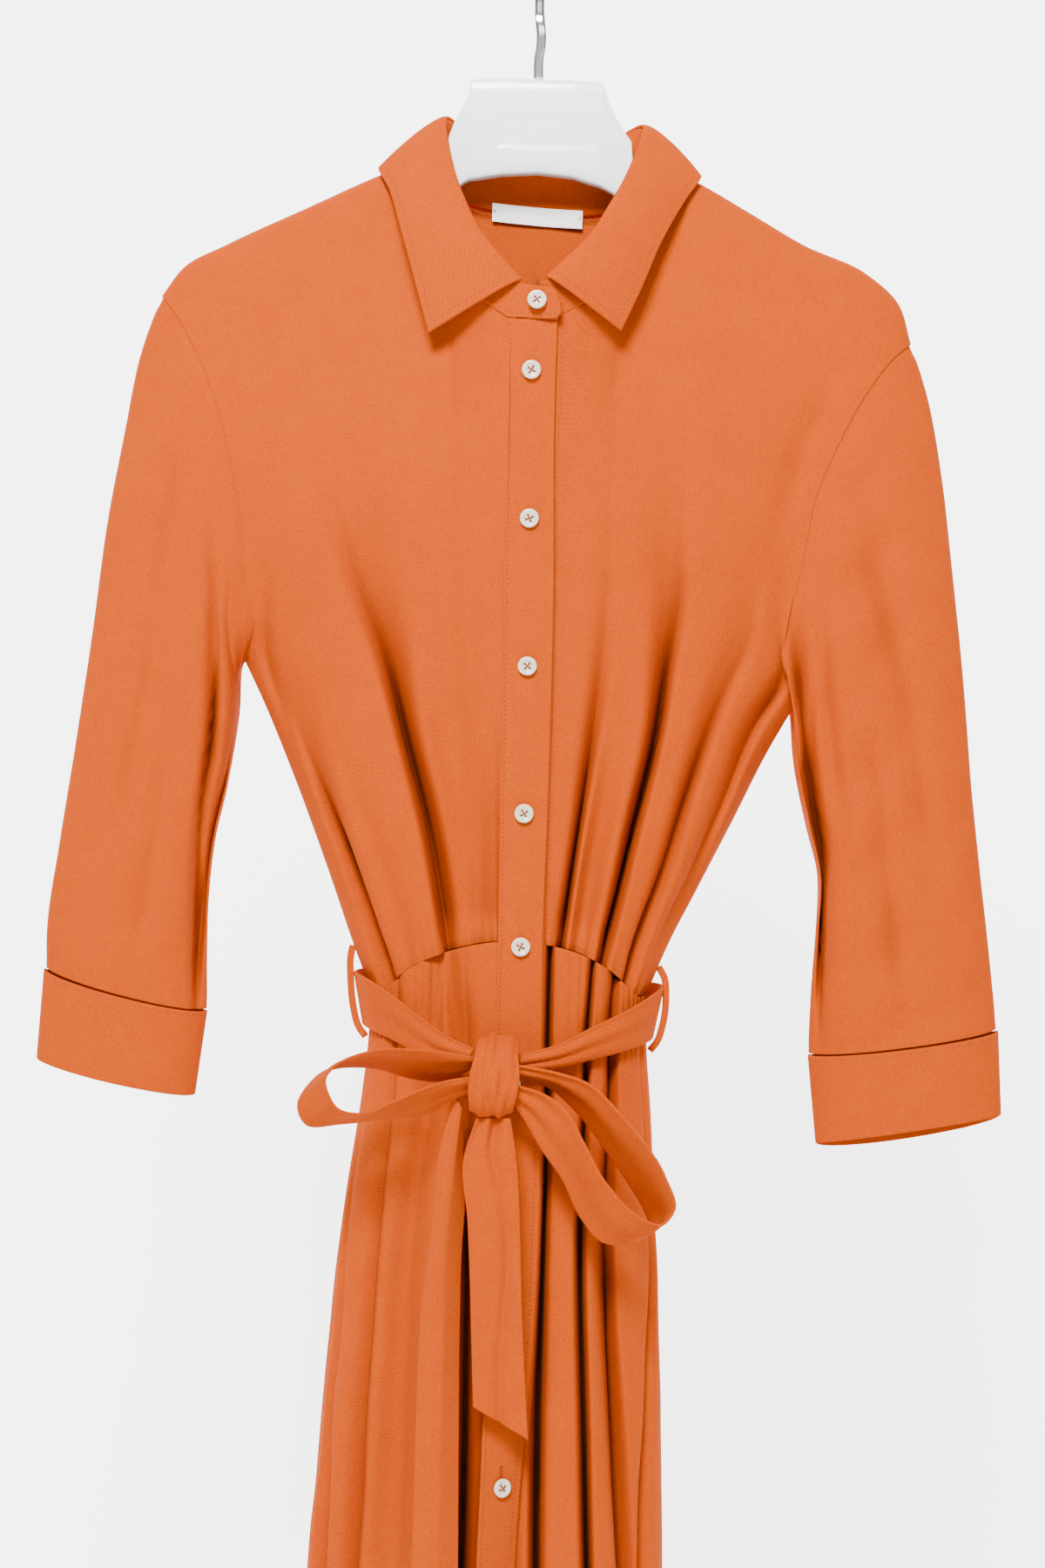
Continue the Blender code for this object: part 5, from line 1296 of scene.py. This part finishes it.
def addBelt():
    rows = along(belt["waist"], np.linspace(0, 1, 260))
    middle, width, lean = rows[:, :3], rows[:, 3], rows[:, 4]
    heading = unit(np.gradient(middle, axis=0))
    out = unit(np.cross(heading, np.array((0.0, 0.0, 1.0))))
    out = out * np.sign((out * middle * np.array((1, 1, 0))).sum(axis=1))[:, None]
    level = np.linspace(0.5, -0.5, 26)[:, None]
    crown = np.clip((31.0 - width) * 0.12, 0, 2.5)
    pleat = 1.1 * np.clip((31 - width) / 20, 0, 1) * np.sin(level * 13.0)
    lift = crown * (1 - 4 * level**2) + lean * level + pleat
    grid = middle + out * lift[..., None] + np.array((0.0, 0.0, 1.0)) * (width * level)[..., None]
    piece = putCloth("waist_belt", grid, belt["thick"], nodes=["belt_waist"])
    for side, count in (("right", 230), ("left", 260)):
        edges = along(belt[side], np.linspace(0, 1, count))
        grid = ribbon(edges[:, :3], edges[:, 3:], 24)
        share = np.linspace(0, 1, 24)[:, None]
        run = np.linspace(0, 1, count)[None]
        near = np.exp(-(run / 0.16) ** 2) + np.exp(-((1 - run) / 0.16) ** 2)
        fold = 1.5 * np.sin(share * 11 + 3 * run) * near + 0.5 * np.sin(share * 6.3 + 9 * run)
        flatWay = unit(np.cross(np.gradient(grid, axis=1), edges[None, :, 3:] - edges[None, :, :3]))
        grid = grid + flatWay * (fold * np.sin(math.pi * share) ** 0.6)[..., None]
        piece = putCloth("loop " + side, grid, belt["thick"], nodes=["belt_loop_" + side],
                         hint="middle")
    edges = along(belt["wide"], np.linspace(0, 1, 120))
    share = np.linspace(0, 1, 24)[:, None, None]
    grid = ribbon(edges[:, :3], edges[:, 3:], 24)
    wave = np.sin(edges[:, 2] / 21.0) * 1.2 + np.sin(edges[:, 2] / 9.0 + 1.0) * 0.4
    grid[..., 1] -= (wave[None] * np.sin(math.pi * share[..., 0]))
    ridge = 0.62 + 0.12 * np.sin(edges[:, 2] / 26.0)
    grid[..., 1] += 2.4 * np.exp(-((share[..., 0] - ridge[None]) / 0.10) ** 2)
    top = np.exp(-((edges[:, 2] + 695) / 22.0) ** 2)[None]
    grid[..., 1] += 1.6 * np.sin(share[..., 0] * 13) * top
    piece = putCloth("end wide", grid, belt["thick"], nodes=["belt_end_wide"],
                     hint=np.array((0.0, -1.0, 0.0)))
    edges = along(belt["long"], np.linspace(0, 1, 170))
    outer, fold, inner = edges[:, :3], edges[:, 3:6], edges[:, 6:]
    t = np.linspace(0, 1, 31)[:, None, None]
    grid = np.where(t < 0.5, outer + (fold - outer) * 2 * t, fold + (inner - fold) * (2 * t - 1))
    grid[..., 1] += 2.2 * np.exp(-((t[..., 0] - 0.5) / 0.07) ** 2)
    piece = putCloth("end long", grid, belt["thick"], nodes=["belt_end_long"],
                     hint=np.array((0.0, -1.0, 0.0)))
    loop = np.asarray(belt["knot"], float)
    centre = loop.mean(axis=0)
    ring = closedCurve(loop, 72)
    ring = np.concatenate((ring, ring[:1]))
    grid = []
    low, high = belt["knotReach"]
    for share in np.linspace(0, 1, 44):
        bulge = 0.84 + 0.17 * math.sin(math.pi * share) ** 0.7
        turn = np.linspace(0, 2 * math.pi, len(ring))
        height = (ring[:, 1] - centre[1]) / 21.0
        pull = (0.9 * np.sin(share * 15 + 1.8 * np.sin(turn) + 1.2 * height)
                + 0.5 * np.sin(share * 27 - 2 * height))
        around = centre + (ring - centre) * bulge
        around = around + unit(ring - centre) * pull[:, None] * math.sin(math.pi * share) ** 0.5
        spread = 1.0 - 0.16 * rise(height, 0.1, 1.0) - 0.12 * rise(-height, 0.2, 1.0)
        middle = (low + high) / 2 + 1.4 * height
        x = middle + (share - 0.5) * (high - low) * spread
        grid.append(np.stack((x, around[:, 0], around[:, 1]), axis=-1))
    piece = putCloth("knot", np.array(grid), belt["thick"], nodes=["belt_knot"], ring=True)
    for side, rows in belt["carriers"].items():
        path = along(rows, np.linspace(0, 1, 60)) + np.array((2.2 if side == "right" else -2.2, 0.0, 0.0))
        aside = 2.1 * np.cross(unit(np.gradient(path, axis=0)), np.array((0.0, 1.0, 0.0)))
        piece = putCloth("carrier " + side, ribbon(path - aside, path + aside, 9), 1.6,
                         nodes=["belt_carrier_" + side], hint=np.array((0.0, -1.0, 0.0)))


label = {"reach": (-25.0, 29.0), "top": -157.0, "height": 11.0, "y": 22.2, "bend": 3.5}


def addLabel():
    x, level = np.meshgrid(np.linspace(*label["reach"], 60), np.linspace(0, 1, 16))
    z = label["top"] - label["height"] * level - 0.062 * (x - label["reach"][0])
    y = label["y"] - label["bend"] * ((x - 2.0) / 27.0) ** 2 + 0.25 * np.sin(x / 5.0) * level
    grid = np.stack((x, y, z), axis=-1)
    piece = putCloth("neck_tape", grid, 0.5, "tape", ["label"], hint=np.array((0.0, -1.0, 0.0)))
    runs = []
    for end in (1.6, -1.6):
        column = grid[:, 2 if end > 0 else -3]
        point = column[6] + np.array((0.0, -0.6, 0.0))
        for k in (-1.0, 0.2):
            start = point + np.array((-2.2 if end > 0 else 2.2, 0.0, k))
            runs.append((np.array((start, point + np.array((0.6 * end, 0, k * 0.6)))),
                         np.array(((0, -1, 0), (0, -1, 0))), 4.0, 0.95))
    putStitches("label stitches", runs, 0.5, 0.2)


# the hanger
hanger = {
    # x, top z, bottom z, half thickness
    "block": (
        (-66, -151, -172, 3.5), (-54, -142, -163, 4.5), (-51.5, -121, -159, 4.5), (-48, -112, -155, 4.5),
        (-45, -106, -152, 4.8), (-41, -98, -149, 5.5), (-39, -88, -148, 6.0), (-20, -87, -144.5, 6.5),
        (2, -87, -143, 6.5), (22, -87, -145, 6.5), (39, -88, -150, 6.0), (42, -98, -151.5, 5.5),
        (46, -106, -153.5, 4.8), (50.5, -114, -156, 4.5), (56.5, -122, -160, 4.5), (59, -142, -164, 4.5),
        (72, -151, -171, 3.5)),
    "arm": ((84, 25, 3.0), (100, 27, 4.8), (125, 27, 6), (160, 24, 6.5), (182, 19, 5.5), (194, 13, 4),
            (199, 6, 2.2)),
    "seat": 3.8,
    "recess": (-24.0, 36.0, -128.0, -108.0, 0.45),
    "hookWidth": 6.0, "hookBar": 2.4, "hookRadius": 17.0,
    "shaft": ((0.5, 0, -86.5), (0.5, 0, -74), (1.6, 0, -66), (1.6, 0, -60), (0.4, 0, -50), (0, 5, -39)),
    "arc": (-45.0, 200.0),
}


def putLoft(name, sections, finish, nodes):
    sections = np.asarray(sections, float)
    closed = np.concatenate((sections, sections[:, :1]), axis=1)
    centreA = np.repeat(closed[:1].mean(axis=1, keepdims=True), closed.shape[1], axis=1)
    centreB = np.repeat(closed[-1:].mean(axis=1, keepdims=True), closed.shape[1], axis=1)
    grid = np.concatenate((centreA, closed, centreB))
    facing = np.cross(np.gradient(closed, axis=1), np.gradient(closed, axis=0))
    if (facing * (closed - closed.mean(axis=1, keepdims=True))).sum() < 0:
        grid = grid[:, ::-1]
    piece = putGrid(name, grid, clothLengths(grid))
    return dress(piece, finish, nodes)


def addHanger():
    sections = [(x, (top + bottom) / 2, (top - bottom) / 2, half)
                for x, top, bottom, half in hanger["block"]]
    for side, sign in (("right", -1), ("left", 1)):
        shoulder = np.asarray(body["shoulder"][side], float)
        for out, height, half in hanger["arm"]:
            top = float(np.interp(out, np.abs(shoulder[:, 0]), shoulder[:, 2])) - hanger["seat"]
            sections.append((sign * out, top - height / 2, height / 2, half))
    sections = np.array(sorted(sections))
    places = np.unique(np.concatenate((np.linspace(-199, -66, 60), np.linspace(-66, 72, 130),
                                       np.linspace(72, 199, 60), sections[:, 0])))
    turn = 2 * math.pi * (np.arange(112) + 0.5) / 112
    left, right, low, high, deep = hanger["recess"]
    rings = []
    for x in places:
        middle, tall, half = (np.interp(x, sections[:, 0], sections[:, k]) for k in (1, 2, 3))
        power = 2.6 + 3.0 * float(rise(abs(x), 62, 38))
        c, s = np.cos(turn), np.sin(turn)
        scale = (np.abs(c) ** power + np.abs(s) ** power) ** (-1 / power)
        y, z = half * scale * c, middle + tall * scale * s
        inside = (rise(x, left - 0.7, left + 0.7) * (1 - rise(x, right - 0.7, right + 0.7))
                  * rise(z, low - 0.7, low + 0.7) * (1 - rise(z, high - 0.7, high + 0.7)))
        y = y + deep * inside * (y < 0)
        rings.append(np.stack((np.full_like(y, x), y, z), axis=-1))
    putLoft("hanger", rings, "white", ["hanger_body"])
    path = list(along(hanger["shaft"], np.linspace(0, 1, 40)))
    middle = hanger["hookRadius"] + hanger["hookBar"] / 2
    for angle in np.linspace(*hanger["arc"], 70):
        turning = math.radians(angle)
        path.append(np.array((0.0, middle * math.cos(turning),
                              -hanger["hookRadius"] + middle * math.sin(turning))))
    path = np.array(path)
    for _ in range(3):
        path[1:-1] = path[1:-1] * 0.5 + (path[:-2] + path[2:]) * 0.25
    heading = unit(np.gradient(path, axis=0))
    across = np.array((1.0, 0.0, 0.0))
    w, t = hanger["hookWidth"] / 2, hanger["hookBar"] / 2
    turn = 2 * math.pi * (np.arange(28) + 0.5) / 28
    scale = (np.abs(np.cos(turn)) ** 5 + np.abs(np.sin(turn)) ** 5) ** (-1 / 5)
    rings = []
    for point, ahead in zip(path, heading):
        out = unit(np.cross(ahead, across))
        rings.append(point + across * (w * scale * np.cos(turn))[:, None]
                     + out * (t * scale * np.sin(turn))[:, None])
    putLoft("hook", rings, "chrome", ["hanger_hook"])


# the studio: a sweep behind and below, soft lights, the photo's camera
studio = {
    "floor": -1.42, "back": 0.75, "front": -3.2, "half": 4.0, "top": 2.6,
    "paper": (0.86, 0.86, 0.86, 1.0),
    "world": (1.0, 0.99, 0.98, 1.0), "worldStrength": 0.3, "glow": 2.9, "glowFrom": 0.1, "glowTo": 0.5,
    "lens": 75.96, "sensor": 36.0, "eye": (0.002, -1.96, -0.504), "roll": 1.5,
    # name, place, aim, size, watts
    "lights": (
        ("key light", (-0.35, -2.2, 1.25), (0.0, 0.0, -0.55), (0.8, 0.8), 235.0),
        ("fill light", (0.5, -3.2, -0.2), (0.0, 0.0, -0.7), (1.4, 1.4), 30.0),
        ("back light left", (-1.4, 0.1, 0.5), (0.0, 0.75, -0.5), (1.2, 1.6), 14.0),
        ("back light right", (1.4, 0.1, 0.5), (0.0, 0.75, -0.5), (1.2, 1.6), 14.0),
    ),
}


def addStudio():
    profile = [(studio["front"], studio["floor"])]
    bend = 0.5
    for angle in np.linspace(0, 90, 14):
        a = math.radians(angle)
        profile.append((studio["back"] - bend + bend * math.sin(a),
                        studio["floor"] + bend - bend * math.cos(a)))
    profile.append((studio["back"], studio["top"]))
    profile = np.array(profile) / mm
    grid = np.array([[(x / mm, y, z) for x in (-studio["half"], studio["half"])] for y, z in profile])
    grid = grid[:, ::-1]
    sweep = putGrid("sweep", grid, clothLengths(grid))
    paper, tree, shader = newMaterial("backdrop paper", {"Base Color": studio["paper"], "Roughness": 0.95,
                                                         "Emission Strength": studio["glow"]})
    start = Value(tree, None)
    split = start.add("ShaderNodeSeparateXYZ", 1, {"Vector": start.add("ShaderNodeTexCoord", "Object", {})})
    lit = ((split - studio["glowFrom"]) / (studio["glowTo"] - studio["glowFrom"])).clamp()
    tree.links.new(lit.mix((0.0, 0.0, 0.0, 1.0), studio["world"]).socket, shader.inputs["Emission Color"])
    sweep.data.materials.clear()
    sweep.data.materials.append(paper)
    sweep.data.polygons.foreach_set("use_smooth", np.ones(len(sweep.data.polygons), bool))
    for name, place, aim, size, watts in studio["lights"]:
        lamp = bpy.data.lights.new(name, "AREA")
        lamp.shape = "RECTANGLE"
        lamp.size, lamp.size_y = size
        lamp.energy = watts
        holder = bpy.data.objects.new(name, lamp)
        holder.location = place
        holder.rotation_euler = (Vector(aim) - Vector(place)).to_track_quat("-Z", "Y").to_euler()
        bpy.context.scene.collection.objects.link(holder)
    world = bpy.data.worlds.new("studio")
    world.use_nodes = True
    backing = world.node_tree.nodes["Background"]
    backing.inputs["Color"].default_value = studio["world"]
    backing.inputs["Strength"].default_value = studio["worldStrength"]
    bpy.context.scene.world = world
    lens = bpy.data.cameras.new("photo camera")
    lens.lens = studio["lens"]
    lens.sensor_width = studio["sensor"]
    lens.clip_start, lens.clip_end = 0.05, 30.0
    eye = bpy.data.objects.new("photo camera", lens)
    eye.location = studio["eye"]
    eye.rotation_euler = (math.pi / 2, 0.0, 0.0)
    eye.rotation_euler.rotate_axis("Z", math.radians(studio["roll"]))
    bpy.context.scene.collection.objects.link(eye)
    bpy.context.scene.camera = eye


for stage, job in (("bodice", addBodice), ("skirt", addSkirt), ("sleeves", addSleeves),
                   ("collar", addCollar),
                   ("bands", addBands), ("seam stitches", addSeamStitches), ("buttons", addButtons),
                   ("belt", addBelt), ("label", addLabel),
                   ("hanger", addHanger), ("studio", addStudio)):
    job()
    print("made the", stage)
